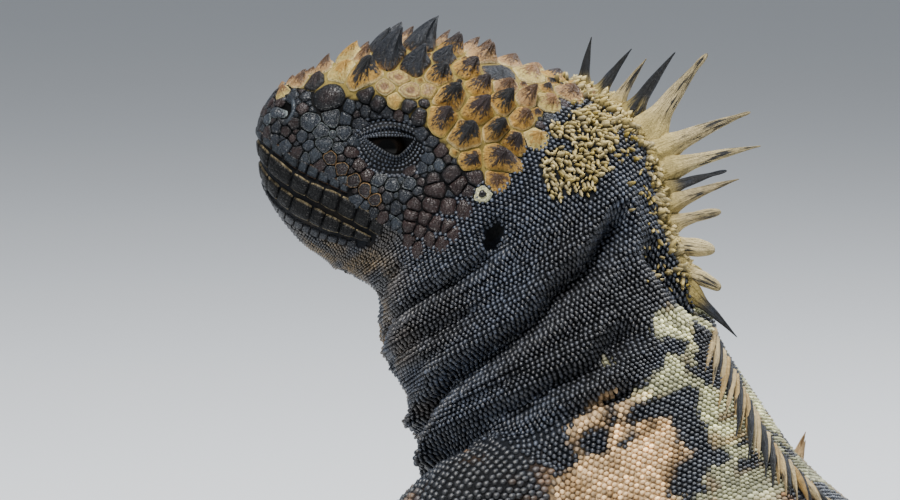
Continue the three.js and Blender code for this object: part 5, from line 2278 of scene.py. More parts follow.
class Nostril:
    """The rim round a nostril."""

    middle = (30.4, -2.2)
    half = (1.75, 2.9)
    slant = 12.0
    thick = 0.62

    def __init__(self, surface: SkinSurface, side: int) -> None:
        """Keeps the skin and the side."""
        self.surface = surface
        self.side = side

    def build(self) -> MeshData:
        """The rim's closed ring, standing over the skin.

        Returns:
            Its mesh.
        """
        around, tube = 40, 12
        turn = np.arange(around) * 2 * np.pi / around
        _, left, _ = HEAD.axes()
        ray = left * self.side
        c, s = math.cos(math.radians(self.slant)), math.sin(math.radians(self.slant))

        def ring(scale: float) -> Array:
            """Points of an oval round the opening, on the skin seen from the side.

            Args:
                scale: The oval's size, in sizes of the opening.

            Returns:
                One point for each turn.
            """
            x, y = np.cos(turn) * self.half[0] * scale, np.sin(turn) * self.half[1] * scale
            along, up = self.middle[0] + x * c + y * s, self.middle[1] - x * s + y * c
            points, _, _ = self.surface.cast(HEAD.point(along, up, np.zeros(around)), np.tile(ray, (around, 1)))
            return points

        outer, inner = ring(1.55), ring(1.0)
        flat = unit(outer - inner)
        centre = (outer + inner) / 2
        centre = centre + np.maximum(((outer - centre) @ ray), 0)[:, None] * ray * 0.8
        lift = unit(np.cross(np.roll(centre, -1, 0) - np.roll(centre, 1, 0), flat))
        lift = lift * np.sign(lift @ ray)[:, None]
        phi = np.arange(tube) * 2 * np.pi / tube
        bulge = (self.thick * (0.85 + 0.1 * np.cos(5 * turn) - 0.3 * np.cos(turn)))[:, None, None]
        out_way = np.cos(phi)[None, :, None] * flat[:, None] + np.sin(phi)[None, :, None] * lift[:, None]
        points = (centre[:, None] + bulge * out_way).reshape(-1, 3)
        faces = outward_here(points, tube_faces(around, tube))
        rear = smooth_step(-np.cos(turn), 0.0, 0.9)
        tint = np.repeat(mix(Tint.BLACK.rgb, Tint.BLUE_GREY.rgb * 1.2, rear), tube, 0)
        grain = np.repeat(np.stack([np.cos(turn), np.sin(turn), turn * 0], -1) * 2, tube, 0)
        bake = bake_place(-1, 372.0, self.side * 66.0)
        bake = bake + 0.01 * np.repeat(np.stack([np.cos(turn), np.sin(turn)], -1), tube, 0)
        return MeshData(points, faces, tint, tint * 1.3, np.zeros(len(points)), grain, bake)


# Eyes


@dataclass
class EyeArea:
    """Eyeball, lids and the rows of beads round them, on one side."""

    surface: SkinSurface
    side: int
    radius: float = 6.8
    out: float = 14.6
    lid: float = 1.15
    middle: tuple[float, float] = (0.6, 3.4)  # of the opening, in the head's frame
    tilt: float = -25.0  # of the opening, in degrees
    oval: tuple[float, float] = (11.6, 9.0)
    oval_drop: float = -2.6
    bake_at: float = 343.0  # the eye's place on the OFBake map
    bake_turn: float = 80.0
    # Rows of beads: level from the opening's edge out to the oval, and the beads' pitch.
    bead_rows: tuple = ((0.1, 0.85), (0.24, 0.95), (0.38, 1.0), (0.52, 1.15), (0.67, 1.35), (0.83, 1.55), (1.0, 1.8))
    opening: tuple = (
        (6.9, 0.0), (5.2, 0.4), (3.1, 0.6), (0.8, 0.6), (-2.1, 0.55), (-4.7, 0.4), (-6.5, -0.1), (-5.2, -1.8),
        (-3.8, -3.3), (-2.5, -4.3), (-1.3, -4.4), (0.6, -3.6), (2.7, -2.4), (5.1, -1.1),
    )  # fmt: skip

    def ball_centre(self) -> Array:
        """The eyeball's centre in the row frame."""
        return HEAD.point(0.5, 0.5, self.side * self.out)

    def to_head(self, u: Array, v: Array) -> tuple[Array, Array]:
        """Places beside the opening in the head's frame.

        Args:
            u: Millimetres along the opening.
            v: Millimetres across it.

        Returns:
            Along and up.
        """
        c, s = math.cos(math.radians(self.tilt)), math.sin(math.radians(self.tilt))
        return self.middle[0] + u * c - v * s, self.middle[1] + u * s + v * c

    def opening_at(self, share: Array) -> Array:
        """The opening's edge.

        Args:
            share: Shares of the turn round it.

        Returns:
            Places (u, v), one a row.
        """
        line = np.array(self.opening, float)
        closed = np.concatenate([line[-2:], line, line[:3]])
        place = (share % 1) * len(line)
        i = place.astype(int)
        w = (place - i)[:, None]
        a, b, c, d = (closed[i + k + 1] for k in range(4))
        return b + 0.5 * w * (c - a + w * (2 * a - 5 * b + 4 * c - d + w * (3 * (b - c) + d - a)))

    def oval_at(self, share: Array) -> Array:
        """The lids' outer edge, in step with the opening.

        Args:
            share: Shares of the turn round it.

        Returns:
            Places (u, v), one a row.
        """
        inner = self.opening_at(share)
        turn = np.arctan2((inner[:, 1] - self.oval_drop * 0.55) * 1.9, inner[:, 0])
        return np.stack([np.cos(turn) * self.oval[0], self.oval_drop + np.sin(turn) * self.oval[1]], -1)

    def out_of(self, along: Array, up: Array, lift: Array) -> Array:
        """How far out the lids' surface lies: over the ball, blending into the skin.

        Args:
            along: Places along the head.
            up: Their heights.
            lift: How much farther out each lies.

        Returns:
            Millimetres from the head's middle plane.
        """
        _, left, _ = HEAD.axes()
        rays = np.tile(left * self.side, (len(along), 1))
        points, _, _ = self.surface.cast(HEAD.point(along, up, np.zeros_like(along)), rays)
        skin = HEAD.coordinates(points)[2] * self.side
        far = (along - 0.5) ** 2 + (up - 0.5) ** 2
        ball = self.out + np.sqrt(np.maximum((self.radius + self.lid) ** 2 - far, 1.0)) - 0.1
        soft = 1.1
        return soft * np.logaddexp(skin / soft, ball / soft) - 0.35 + lift

    def lid_points(self, share: Array, level: Array, deep: float = 0.0) -> Array:
        """Points of the lids.

        Args:
            share: Share of the turn round the opening.
            level: 0 at the opening's edge to 1 at the outer oval.
            deep: How far under the surface.

        Returns:
            Points in the row frame.
        """
        inner, outer = self.opening_at(share), self.oval_at(share)
        place = inner + (outer - inner) * level[:, None] ** 1.15
        along, up = self.to_head(place[:, 0], place[:, 1])
        upper = smooth_step(place[:, 1], -1.0, 1.0)
        rim = 0.35 * np.exp(-(((level - 0.07) / 0.07) ** 2))
        crease = -0.75 * np.exp(-(((level - 0.4) / 0.07) ** 2)) * upper
        hood = 0.9 * np.exp(-(((level - 0.6) / 0.16) ** 2)) * upper
        furrows = -0.28 * (1 - upper) * np.exp(-(((level - 0.2) / 0.05) ** 2))
        edge = -0.9 * smooth_step(level, 0.86, 1.0)
        out = self.out_of(along, up, rim + crease + hood + furrows + edge - deep)
        return HEAD.point(along, up, out * self.side)

    def lids(self) -> MeshData:
        """Both lids, as a closed ring round the opening.

        Returns:
            Their mesh.
        """
        around, steps = 96, 22
        share = np.arange(around) / around
        levels = np.linspace(0, 1, steps)
        rings = [self.lid_points(share, np.full(around, level)) for level in levels]
        rings += [self.lid_points(share, np.full(around, level), 1.3 if level < 0.5 else 1.8) for level in levels[::-1]]
        points = np.concatenate(rings)
        count = len(rings)
        faces = outward_here(points, tube_faces(count, around))
        tint = np.tile(Tint.BLACK.rgb * 0.7, (len(points), 1))
        turn = np.tile(share * 2 * np.pi, count)
        grain = np.stack([np.cos(turn) * 3, np.sin(turn) * 3, np.repeat(np.arange(count) * 0.3, around)], -1)
        spread = np.stack([np.cos(turn), np.sin(turn)], -1) * np.repeat(np.arange(count) / count, around)[:, None]
        bake = bake_place(-1, self.bake_at, self.side * self.bake_turn) + 0.012 * spread
        return MeshData(points, faces, tint, tint.copy(), np.zeros(len(points)), grain, bake)

    def beads(self) -> Seats:
        """The rows of beads on the lids and round the eye.

        Returns:
            Their seats.
        """
        draw = np.random.default_rng(SEED + 8)
        found = []
        fine = np.linspace(0, 1, 721)
        for level, pitch in self.bead_rows:
            line = self.lid_points(fine, np.full(len(fine), level))
            length = np.concatenate([[0], np.cumsum(np.linalg.norm(np.diff(line, axis=0), axis=1))])
            count = int(length[-1] / pitch)
            share = np.interp((np.arange(count) + draw.uniform(0, 1)) / count * length[-1] % length[-1], length, fine)
            found.append((share, np.full(count, level), np.full(count, pitch)))
        share, level, pitch = (np.concatenate([f[k] for f in found]) for k in range(3))
        near = 0.004
        points = self.lid_points(share, level)
        around = self.lid_points(share + near, level) - self.lid_points(share - near, level)
        inward = self.lid_points(share, np.maximum(level - 0.03, 0)) - self.lid_points(share, level + 0.03)
        normal = unit(np.cross(around, inward))
        _, left, _ = HEAD.axes()
        normal = normal * np.sign(normal @ (left * self.side))[:, None]
        rows = np.array(sorted(set(level)))
        across = self.lid_points(share, np.ones(len(share))) - self.lid_points(share, np.zeros(len(share)))
        row_gap = np.interp(level, rows, np.gradient(rows)) * np.linalg.norm(across, axis=1)
        length = np.clip(row_gap * 0.5, 0.34, 0.95) * draw.uniform(0.9, 1.1, len(share))
        width = np.minimum(pitch * 0.5, 1.5 * length) * draw.uniform(0.9, 1.08, len(share))
        tone = draw.uniform(0.7, 1.5, len(share))[:, None]
        tint = Tint.BLUE_BLACK.rgb * tone
        spread = np.stack([10 * np.cos(share * 6.28), 14 * np.sin(share * 6.28)]) * level
        bake = bake_place(-1, self.bake_at + spread[0], self.side * (self.bake_turn + spread[1]))
        # Painted highlight: each bead's tip colour is its base colour made 3.4 times as bright.
        return Seats(points, normal, inward, length, width, 0.3 + 0.45 * length, tint, tint * 3.4, bake)

    def ball(self) -> bpy.types.Object:
        """The eyeball, with a slightly raised front.

        Returns:
            The finished object.
        """
        bpy.ops.object.select_all(action="DESELECT")
        centre = self.ball_centre()
        place = tuple(centre * MM)
        bpy.ops.mesh.primitive_uv_sphere_add(segments=48, ring_count=32, radius=self.radius * MM, location=place)
        ball = bpy.context.active_object
        ball.name = ball.data.name = "eyeball_left" if self.side > 0 else "eyeball_right"
        bpy.ops.object.transform_apply(location=True, rotation=True, scale=True)
        _, left, _ = HEAD.axes()
        gaze = left * self.side
        for vertex in ball.data.vertices:
            d = np.array(vertex.co) / MM - centre
            bulge = 0.35 * float(smooth_step(np.array(d @ gaze / self.radius), 0.7, 1.0))
            vertex.co = Vector((centre + d * (1 + bulge / self.radius)) * MM)
        bpy.ops.object.shade_smooth()
        ball.data.materials.append(EyeFinish().material(centre, gaze))
        return ball


# Spines


@dataclass(frozen=True)
class Spine:
    """A flattened spine of the crest."""

    at: float
    tall: float
    root: float  # length of its foot along the body
    thick: float
    rise: float | None = None  # degrees over the level that it points back at, in place of lean
    lean: float = 0.0  # degrees that it leans back from the skin's upward direction
    flop: float = 0.0  # degrees that it leans to the left
    droop: float = 0.0  # how far the tip sinks, in heights
    turn: float = 0.0
    blunt: float = 0.06
    dark: float = 0.4  # how dark its streaks make it


class Crest:
    """The crest from the nape down the back to the tail's end."""

    sunk = 3.0  # how deep a spine's root lies, in mm
    tail_spines = 92
    rods_a_spine = 96
    nape = (
        Spine(317.3, 14.5, 4.4, 2.6, 86, dark=1.5), Spine(313.8, 16.5, 4.6, 2.7, 60, dark=1.3),
        Spine(309.6, 16.5, 5, 2.9, 62, dark=0.7), Spine(305.4, 23, 5.8, 3.2, 61, dark=1.6),
        Spine(299.8, 29.5, 9, 4.8, 59, blunt=0.16, dark=0.75), Spine(295.2, 30, 7.4, 4.2, 30, blunt=0.12, dark=0.6),
        Spine(291, 30, 6.2, 4, 21, dark=0.5), Spine(286.8, 19.5, 5, 3.2, 24, blunt=0.2, dark=1.2),
        Spine(283.2, 23, 5.6, 3.6, 27, dark=0.5), Spine(279, 16, 6, 4.2, 21, blunt=0.4, dark=0.3),
        Spine(273.6, 12, 6.4, 5, 3, blunt=0.72, dark=0.12), Spine(267.8, 12.5, 6.2, 4.8, -18, blunt=0.62, dark=0.2),
        Spine(261.5, 18, 5, 2.8, -36, dark=1.4),
    )  # fmt: skip

    def __init__(self, surface: SkinSurface) -> None:
        """Keeps the skin and starts the draws."""
        self.surface = surface
        self.draw = np.random.default_rng(SEED + 2)

    def frame_at(self, at: float, turn: float = 0.0) -> tuple[Array, Array, Array, Array]:
        """Where a spine stands.

        Args:
            at: Its place along the body.
            turn: Its angle from the back's middle line.

        Returns:
            Its foot, and up, forward and left there.
        """
        points, _ = FORM.surface(np.array([at]), np.array([turn]), 0.0, False)
        values = FORM.sections_at(np.array([at]))
        forward, left, up = axes_of(values[:, 3], values[:, 4])
        return points[0], up[0], forward[0], left[0]

    def mesh_of(self, spine: Spine, tint: Array, tip: Array, sides: int = 18, levels: int = 20) -> MeshData:
        """One spine: it rises, bends back towards its tip, and is grooved lengthwise.

        Args:
            spine: Its sizes.
            tint: Colour of the horn.
            tip: Colour of its streaks.
            sides: Points round it.
            levels: Rings along it.

        Returns:
            The spine's mesh.
        """
        point, up, forward, left = self.frame_at(spine.at, spine.turn)
        flare = spine.rise is not None
        back = spine.lean if spine.rise is None else 90 + math.degrees(math.asin(-forward[2])) - spine.rise
        lean, flop = math.radians(back), math.radians(spine.flop)
        axis = up * math.cos(lean) * math.cos(flop) - forward * math.sin(lean) * math.cos(flop) + left * math.sin(flop)
        side = unit(left - axis * (left @ axis))
        fore = np.cross(side, axis)
        level = np.linspace(0, 1, levels + 1)[:-1]
        level = 1 - (1 - level) ** 1.3

        def middle(f: Array) -> Array:
            """Points of the spine's bent middle line.

            Args:
                f: From 0 at the skin to 1 at the tip.

            Returns:
                One point a row.
            """
            f = np.asarray(f, float)[..., None]
            bend = fore * 0.1 + up * spine.droop
            return point + axis * (f * (spine.tall + self.sunk) - self.sunk) - bend * (spine.tall * f * f)

        turn = 2 * np.pi * np.arange(sides) / sides
        end = 0.03 + 0.5 * spine.blunt
        cap = np.sqrt(1 - (np.maximum(level - 1 + end, 0) / end) ** 2 * 0.97)
        taper = np.maximum(1 - level, spine.blunt) ** 0.85 * cap
        taper = taper * (1 + 0.035 * np.sin(level * 17 + spine.at) * self.draw.uniform(0.5, 1.5))
        if flare:
            taper = taper * (1 + 0.55 * (1 - smooth_step(level, 0.12, 0.42)))
        phase = self.draw.uniform(0, 6.3)
        groove = 1 + 0.07 * np.cos(4 * turn + phase) + 0.06 * np.cos(7 * turn + 2 * phase)
        fore_reach = np.cos(turn) * spine.root * 0.5 * groove
        side_reach = np.sin(turn) * spine.thick * 0.5 * groove
        rings = middle(level)[:, None] + (taper[:, None] * fore_reach)[..., None] * fore
        rings = rings + (taper[:, None] * side_reach)[..., None] * side
        points, faces = loft(rings, tip=middle(1.0))
        offset = self.draw.uniform(0, 90)
        spin = np.stack([np.cos(turn), np.sin(turn)], -1) * 1.7
        grain = np.concatenate([np.tile(spin, (levels, 1)), np.zeros((2, 2))]) + offset
        depth = np.concatenate([np.repeat(level, sides), [0.0, 1.0]])
        grain = np.column_stack([grain, depth * spine.tall * 0.06 + offset])
        foot = 1 - smooth_step(depth, 0.2, 0.5)
        edge = np.concatenate([np.tile(np.abs(np.cos(turn)) ** 6, levels), [0.0, 0.0]])
        rise = 0.25 + 0.5 * spine.dark + 0.2 * smooth_step(depth, 0.5, 0.8) - 0.3 * smooth_step(depth, 0.85, 1.0)
        rise = rise - 0.35 * edge - 0.6 * foot * flare
        rise = rise + 0.5 * lattice_noise(np.column_stack([depth * spine.tall, grain[:, :2] * 2]), 3.0, int(spine.at))
        tints = mix(np.tile(tint, (len(points), 1)), Tint.YELLOW.rgb * 0.8, 0.75 * foot * flare)
        round_it = np.concatenate([np.tile(turn / np.pi - 1, levels), [0, 0]])
        bake = bake_place(-1, spine.at, 0.0) + np.column_stack([depth - 0.5, round_it]) * BAKE_PATCH * 2
        return MeshData(points, faces, tints, np.tile(tip, (len(points), 1)), rise, grain, bake)

    def nape_mesh(self) -> MeshData:
        """The tall spines of the nape.

        Returns:
            One mesh.
        """
        parts = []
        for spine in self.nape:
            tint = mix(Tint.BONE.rgb, Tint.CREAM.rgb, np.array(self.draw.uniform(0, 1))) * 0.82
            if spine.dark > 1:
                tint = Tint.BLUE_BLACK.rgb * 2
            parts.append(self.mesh_of(spine, tint, Tint.SLATE.rgb * 0.6, 26, 30))
        return MeshData.joined(parts)

    def back_mesh(self) -> MeshData:
        """The low crest of the back and the tail.

        Returns:
            One mesh.
        """
        parts = []
        at, number = 247.0, 0
        while at > -10:
            shoulder = float(smooth_step(np.array(at), 110, 205))
            number += 1
            dusky = number % 3 == 0 or self.draw.uniform() < 0.12
            spine = Spine(
                at, (8.5 + 9.5 * shoulder) * self.draw.uniform(0.85, 1.2), 4.4, 2.8,
                lean=50 + 24 * shoulder + self.draw.uniform(-8, 8), flop=10 + 38 * shoulder + self.draw.uniform(-7, 7),
                droop=0.2 * shoulder, dark=1.5 if dusky else self.draw.uniform(0.1, 0.7), blunt=0.12,
            )
            tint = mix(Tint.OCHRE.rgb * 0.8, Tint.BONE.rgb, np.array(self.draw.uniform(0, 1))) * (0.4 + 0.6 * shoulder)
            parts.append(self.mesh_of(spine, Tint.BLUE_BLACK.rgb if dusky else tint, Tint.SLATE.rgb * 0.5, 14, 16))
            at -= 2.9 + 1.7 * (1 - shoulder)
        for at, turn, tall in ((196, -30, 7.5), (194, -27, 5.5)):
            spine = Spine(at, tall, 3.6, 2.6, lean=-28, turn=turn, dark=0.1)
            parts.append(self.mesh_of(spine, Tint.PEACH.rgb, Tint.RUST.rgb, 14, 14))
        for i in range(self.tail_spines):
            at = FORM.tail_end + 24 + (i + 0.5) * (-12 - FORM.tail_end - 24) / self.tail_spines
            near = min(max(1 - at / FORM.tail_end, 0), 1)
            spine = Spine(
                at, (2.4 + 5.2 * near) * self.draw.uniform(0.85, 1.15), 3.2 + 2.6 * near, 1.3 + 0.7 * near,
                lean=52 + self.draw.uniform(-4, 4), flop=self.draw.uniform(-5, 5), dark=0.8,
            )
            parts.append(self.mesh_of(spine, Tint.SLATE.rgb * 1.6, Tint.BLACK.rgb, 8, 8))
        return MeshData.joined(parts)

    def crust_seats(self) -> Seats:
        """Pale rods of crusted skin round the feet of the nape's spines and in the patch beside them.

        Returns:
            Their seats.
        """
        spots, sizes, tones = [], [], []
        for spine in self.nape[:-1]:
            for _ in range(self.rods_a_spine):
                reach = min(abs(self.draw.normal(0, 1.0)) * 3.6, 8.5) + 0.8
                angle = self.draw.uniform(0, 2 * math.pi)
                spread = 1.5 if spine.at > 303 else 0.95
                aside = math.degrees(reach * spread * math.sin(angle) / 17)
                spots.append((spine.at + 0.8 * reach * math.cos(angle), aside))
                sizes.append(self.draw.uniform(0.6, 1.15) * (1.2 if reach < 4 else 0.8))
                tones.append(self.draw.uniform(0, 1) - 0.4 * (reach > 5))
        crest = len(spots)
        at, turn = np.meshgrid(np.arange(296, 319, 1.1), np.arange(6, 66, 1.75), indexing="ij")
        at = (at + self.draw.uniform(-0.4, 0.4, at.shape)).ravel()
        turn = (turn + self.draw.uniform(-0.6, 0.6, turn.shape)).ravel()
        chosen = Markings.rods(at, turn) > 0.5
        for side in (1, -1):
            spots += list(zip(at[chosen], side * turn[chosen]))
            sizes += list(self.draw.uniform(0.6, 1.15, chosen.sum()))
            tones += list(self.draw.uniform(-0.2, 1, chosen.sum()))
        spots = np.array(spots)
        sizes, tones = np.array(sizes), np.array(tones)[:, None]
        points, _ = FORM.surface(spots[:, 0], spots[:, 1], -SKIN_INSET)
        points, normals, _ = self.surface.nearest(points)
        behind, _ = FORM.surface(spots[:, 0] - 2, spots[:, 1], -SKIN_INSET)
        tint = Tint.YELLOW.rgb * (1 - tones) + Tint.CREAM.rgb * tones
        tint = tint * self.draw.uniform(0.7, 1.2, len(spots))[:, None]
        tint = np.clip(tint, 0.05, 0.8)
        tall = np.where(np.arange(len(spots)) < crest, 2.3, 1.6) * sizes * self.draw.uniform(0.7, 1.3, len(spots))
        wobble = self.draw.uniform(-1.1, 1.1, points.shape)
        return Seats(
            points, unit(normals + 0.35 * wobble), behind - points + 2.2 * wobble, 1.2 * sizes, 0.6 * sizes, 1.2 * tall,
            tint * 0.32, tint * 1.15, bake_place(-1, spots[:, 0], spots[:, 1]),
        )  # fmt: skip


# The coat of scales


@dataclass(frozen=True)
class CoatPart:
    """One piece of the coat on the body: its stretch, the scales' pitch and their shape."""

    name: str
    low: float
    high: float
    pitch: float
    shape: Shape
    height: float


class Coat:
    """The small scales of body and limbs, in rows."""

    limb_pitch = 2.15
    limb_sides = 48
    toe_step = 1.45
    parts = (
        CoatPart("scales_tail", FORM.tail_end + 2, -40, 2.9, Shape.KEELED, 0.55),
        CoatPart("scales_hips", -40, 90, 2.45, Shape.BEAD, 0.7),
        CoatPart("scales_back", 90, 186, 2.35, Shape.BEAD, 0.8),
        CoatPart("scales_shoulder", 186, 243, 1.85, Shape.CONE, 1.0),
        CoatPart("scales_neck_low", 243, 268, 1.5, Shape.GRANULE, 1.0),
        CoatPart("scales_neck_high", 268, 294, 1.45, Shape.GRANULE, 1.0),
        CoatPart("scales_nape", 294, 318, 1.45, Shape.GRANULE, 0.9),
        CoatPart("scales_head", 318, FORM.snout_end - 1.0, 1.4, Shape.BEAD, 0.6),
    )

    def __init__(self, surface: SkinSurface) -> None:
        """Keeps the skin."""
        self.surface = surface

    def rows(self, part: CoatPart) -> tuple[Array, Array, Array, Array]:
        """Places of a part's scales in rows across the body.

        Args:
            part: The part of the coat.

        Returns:
            at, turn, half length and half width of each scale.
        """
        draw = np.random.default_rng(SEED + int(part.low) % 997)
        count = round((part.high - part.low) / (part.pitch * 0.84))
        step = (part.high - part.low) / count
        at_rows = part.low + (np.arange(count) + 0.5) * step
        turns = np.linspace(0, 360, 241)
        grid_at, grid_turn = np.meshgrid(at_rows, turns, indexing="ij")
        points, _ = FORM.surface(grid_at.ravel(), grid_turn.ravel(), -SKIN_INSET)
        ahead, _ = FORM.surface(grid_at.ravel() + step, grid_turn.ravel(), -SKIN_INSET)
        gap = np.linalg.norm(ahead - points, axis=1).reshape(grid_at.shape)
        points = points.reshape(grid_at.shape + (3,))
        arcs = np.linalg.norm(np.diff(points, axis=1), axis=2).cumsum(axis=1)
        found = []
        for row, at in enumerate(at_rows):
            arc = np.concatenate([[0], arcs[row]])
            count = max(int(round(arc[-1] / part.pitch)), 5)
            where = (np.arange(count) + 0.5 * (row % 2) + draw.uniform(-0.1, 0.1, count)) / count * arc[-1] % arc[-1]
            turn = np.interp(where, arc, turns)
            long = np.interp(turn, turns, gap[row])
            spots = at + draw.uniform(-0.08, 0.08, count) * step
            found.append(np.stack([spots, turn, long, np.full(count, arc[-1] / count)]))
        at, turn, long, wide = np.concatenate(found, axis=1)
        keep = long > 0.42 * step
        return at[keep], turn[keep], np.clip(long, 0.5 * step, 2.0 * step)[keep] * 0.66, wide[keep] * 0.52

    def seats(self, part: CoatPart) -> Seats:
        """Where a part's scales sit on the finished skin.

        Args:
            part: The part of the coat.

        Returns:
            The seats, but for those in hollows, under the lips and among the rods.
        """
        at, turn, length, width = self.rows(part)
        draw = np.random.default_rng(SEED + 50 + int(part.low) % 997)
        rough, _ = FORM.surface(at, turn, -SKIN_INSET)
        behind, _ = FORM.surface(at - 2, turn, -SKIN_INSET)
        points, normals, height = self.surface.nearest(rough)
        keep = (np.abs(height) < 2.6) & (np.linalg.norm(rough - points, axis=1) < 3.0)
        tint, crust = Markings.body(at, turn)
        angle = from_midline(turn)
        size = draw.uniform(0.92, 1.06, len(at))
        tall = part.height * draw.uniform(0.8, 1.2, len(at)) * (1 - 0.45 * smooth_step(angle, 110, 150) * (at < 225))
        tall = np.where(crust > 0.5, tall * 1.1, tall)
        tone = np.exp(np.clip(draw.normal(-0.04, 0.34, len(at)), -0.9, 0.8))[:, None]
        # Painted highlight: the scales' tips are painted 3.4 times as bright as their base, 1.3 times on crusted
        # scales.
        painted_tip_highlight = np.where((crust > 0.3)[:, None], 1.3, 3.4)
        seats = Seats(
            points, normals, behind - rough, length * size, width * size, tall, tint * tone, tint * tone * painted_tip_highlight,
            bake_place(-1, at, turn), np.stack([at, turn], -1),
        )  # fmt: skip
        bare = in_hollow(points) | on_lips(points) | (Markings.rods(at, angle) > 0.5)
        return seats.taken(keep & ~bare)

    def limb_seats(self, limb: Limb, taken: KDTree) -> Seats:
        """Where a limb's scales sit, from its root to the toes' ends.

        Args:
            limb: The limb.
            taken: The body's own scales, which keep their places.

        Returns:
            The seats.
        """
        draw = np.random.default_rng(SEED + 90 + limb.index)
        pitch = self.limb_pitch
        fine = np.linspace(0, 1, 300)
        way = np.concatenate([[0], np.linalg.norm(np.diff(limb.centre(fine), axis=0), axis=1).cumsum()])
        t = np.interp(np.arange(4.0, way[-1] - 0.5, pitch * 0.82), way, fine)
        rings = limb.rings(t, self.limb_sides, -SKIN_INSET)
        closed = np.concatenate([rings, rings[:, :1]], axis=1)
        found = []
        for row in range(len(t)):
            arc = np.concatenate([[0], np.linalg.norm(np.diff(closed[row], axis=0), axis=1).cumsum()])
            count = max(int(arc[-1] / pitch), 6)
            where = (np.arange(count) + 0.5 * (row % 2) + draw.uniform(-0.16, 0.16, count)) / count * arc[-1] % arc[-1]
            spots = np.stack([np.interp(where, arc, closed[row][:, k]) for k in range(3)], -1)
            spots = spots + draw.uniform(-0.25, 0.25, spots.shape)
            before = rings[max(row - 1, 0)].mean(0) - rings[min(row + 1, len(t) - 1)].mean(0)
            found.append((spots, np.full(count, t[row]), where / arc[-1] * 360, np.tile(before, (count, 1))))
        for number in range(len(limb.toes)):
            root, along, reach = limb.toe_axes(number)
            across, above = np.array([-along[1], along[0], 0]), np.array([0, 0, 1])
            joints = [0, reach * 0.34, reach * 0.7, reach]
            for step in np.arange(3.0, reach + 0.5, self.toe_step):
                turn = np.arange(-60, 241, 42.0) + 21 * (int(step / self.toe_step) % 2)
                high = np.interp(step, joints, [4, 4.8, 3.2, 2.1])
                radius = np.interp(step, joints, [2.4, 2.5, 2.1, 1.8])
                c, s = np.cos(np.radians(turn)), np.sin(np.radians(turn))
                spots = root + along * step + across * (c * radius)[:, None] + above * (high + s * radius)[:, None]
                t_here = np.full(len(turn), 1 + 0.6 * step / reach)
                found.append((spots, t_here, turn + 72.0 * number, np.tile(-along, (len(turn), 1))))
        spots, t_of, turn_of, lean = (np.concatenate([f[k] for f in found]) for k in range(4))
        points, normals, _ = self.surface.nearest(spots)
        keep = (np.linalg.norm(spots - points, axis=1) < 3.6) & (points[:, 2] > 0.6)
        keep &= np.array([taken.find(point)[2] > 0.62 * pitch for point in points])
        tint, _ = Markings.limb(t_of, points)
        size = draw.uniform(0.92, 1.08, len(spots)) * np.where(t_of > 1, 0.72, 1.0)
        tone = draw.uniform(0.7, 1.35, len(spots))[:, None]
        bake = bake_place(limb.index, t_of, turn_of)
        # Painted highlight: the tips are painted twice as bright as the base.
        colours = (tint * tone, tint * tone * 2.0)
        seats = Seats(points, normals, lean, 1.36 * size, 1.18 * size, 0.8 * size, *colours, bake)
        return seats.taken(keep)


# Claws


class Claws:
    """The hooked claws, one on each toe."""

    rings = 22
    sides = 14

    def mesh_of(self, limb: Limb, number: int) -> MeshData:
        """One claw: a tapering hook.

        Args:
            limb: Its limb.
            number: Its toe, from 0.

        Returns:
            The claw's mesh.
        """
        _, _, reach = limb.toe_axes(number)
        stations = (
            (reach + 0.3, 2.3, 1.7), (reach + 1.6, 3.1, 1.65), (reach + 3.2, 3.6, 1.45), (reach + 5.0, 3.5, 1.15),
            (reach + 6.6, 2.8, 0.8), (reach + 8.0, 1.7, 0.45), (reach + 8.7, 0.9, 0.2),
        )  # fmt: skip
        points, faces = loft(limb.rod(number, stations, self.rings, self.sides))
        level = np.concatenate([np.repeat(np.linspace(0, 1, self.rings), self.sides), [0, 1]])
        turn = np.concatenate([np.tile(np.arange(self.sides) * 2 * np.pi / self.sides, self.rings), [0, 0]])
        grain = np.stack([np.cos(turn) * 2, np.sin(turn) * 2, level * 0.8 + number], -1)
        bake = bake_place(limb.index, 1.58, 72.0 * number)
        bake = bake + np.stack([level - 0.5, turn / np.pi - 1], -1) * BAKE_PATCH * 2
        tint = np.tile(Tint.BROWN.rgb * 0.5, (len(points), 1))
        return MeshData(points, faces, tint, np.tile(Tint.BLACK.rgb, (len(points), 1)), level, grain, bake)


@dataclass(frozen=True)
class Lamp:
    """A square light that looks at the picture's centre."""

    name: str
    ahead: float  # metres from the picture's centre: where the head points, towards the camera, and up
    back: float
    above: float
    size: float
    watts: float
    colour: tuple[float, float, float]


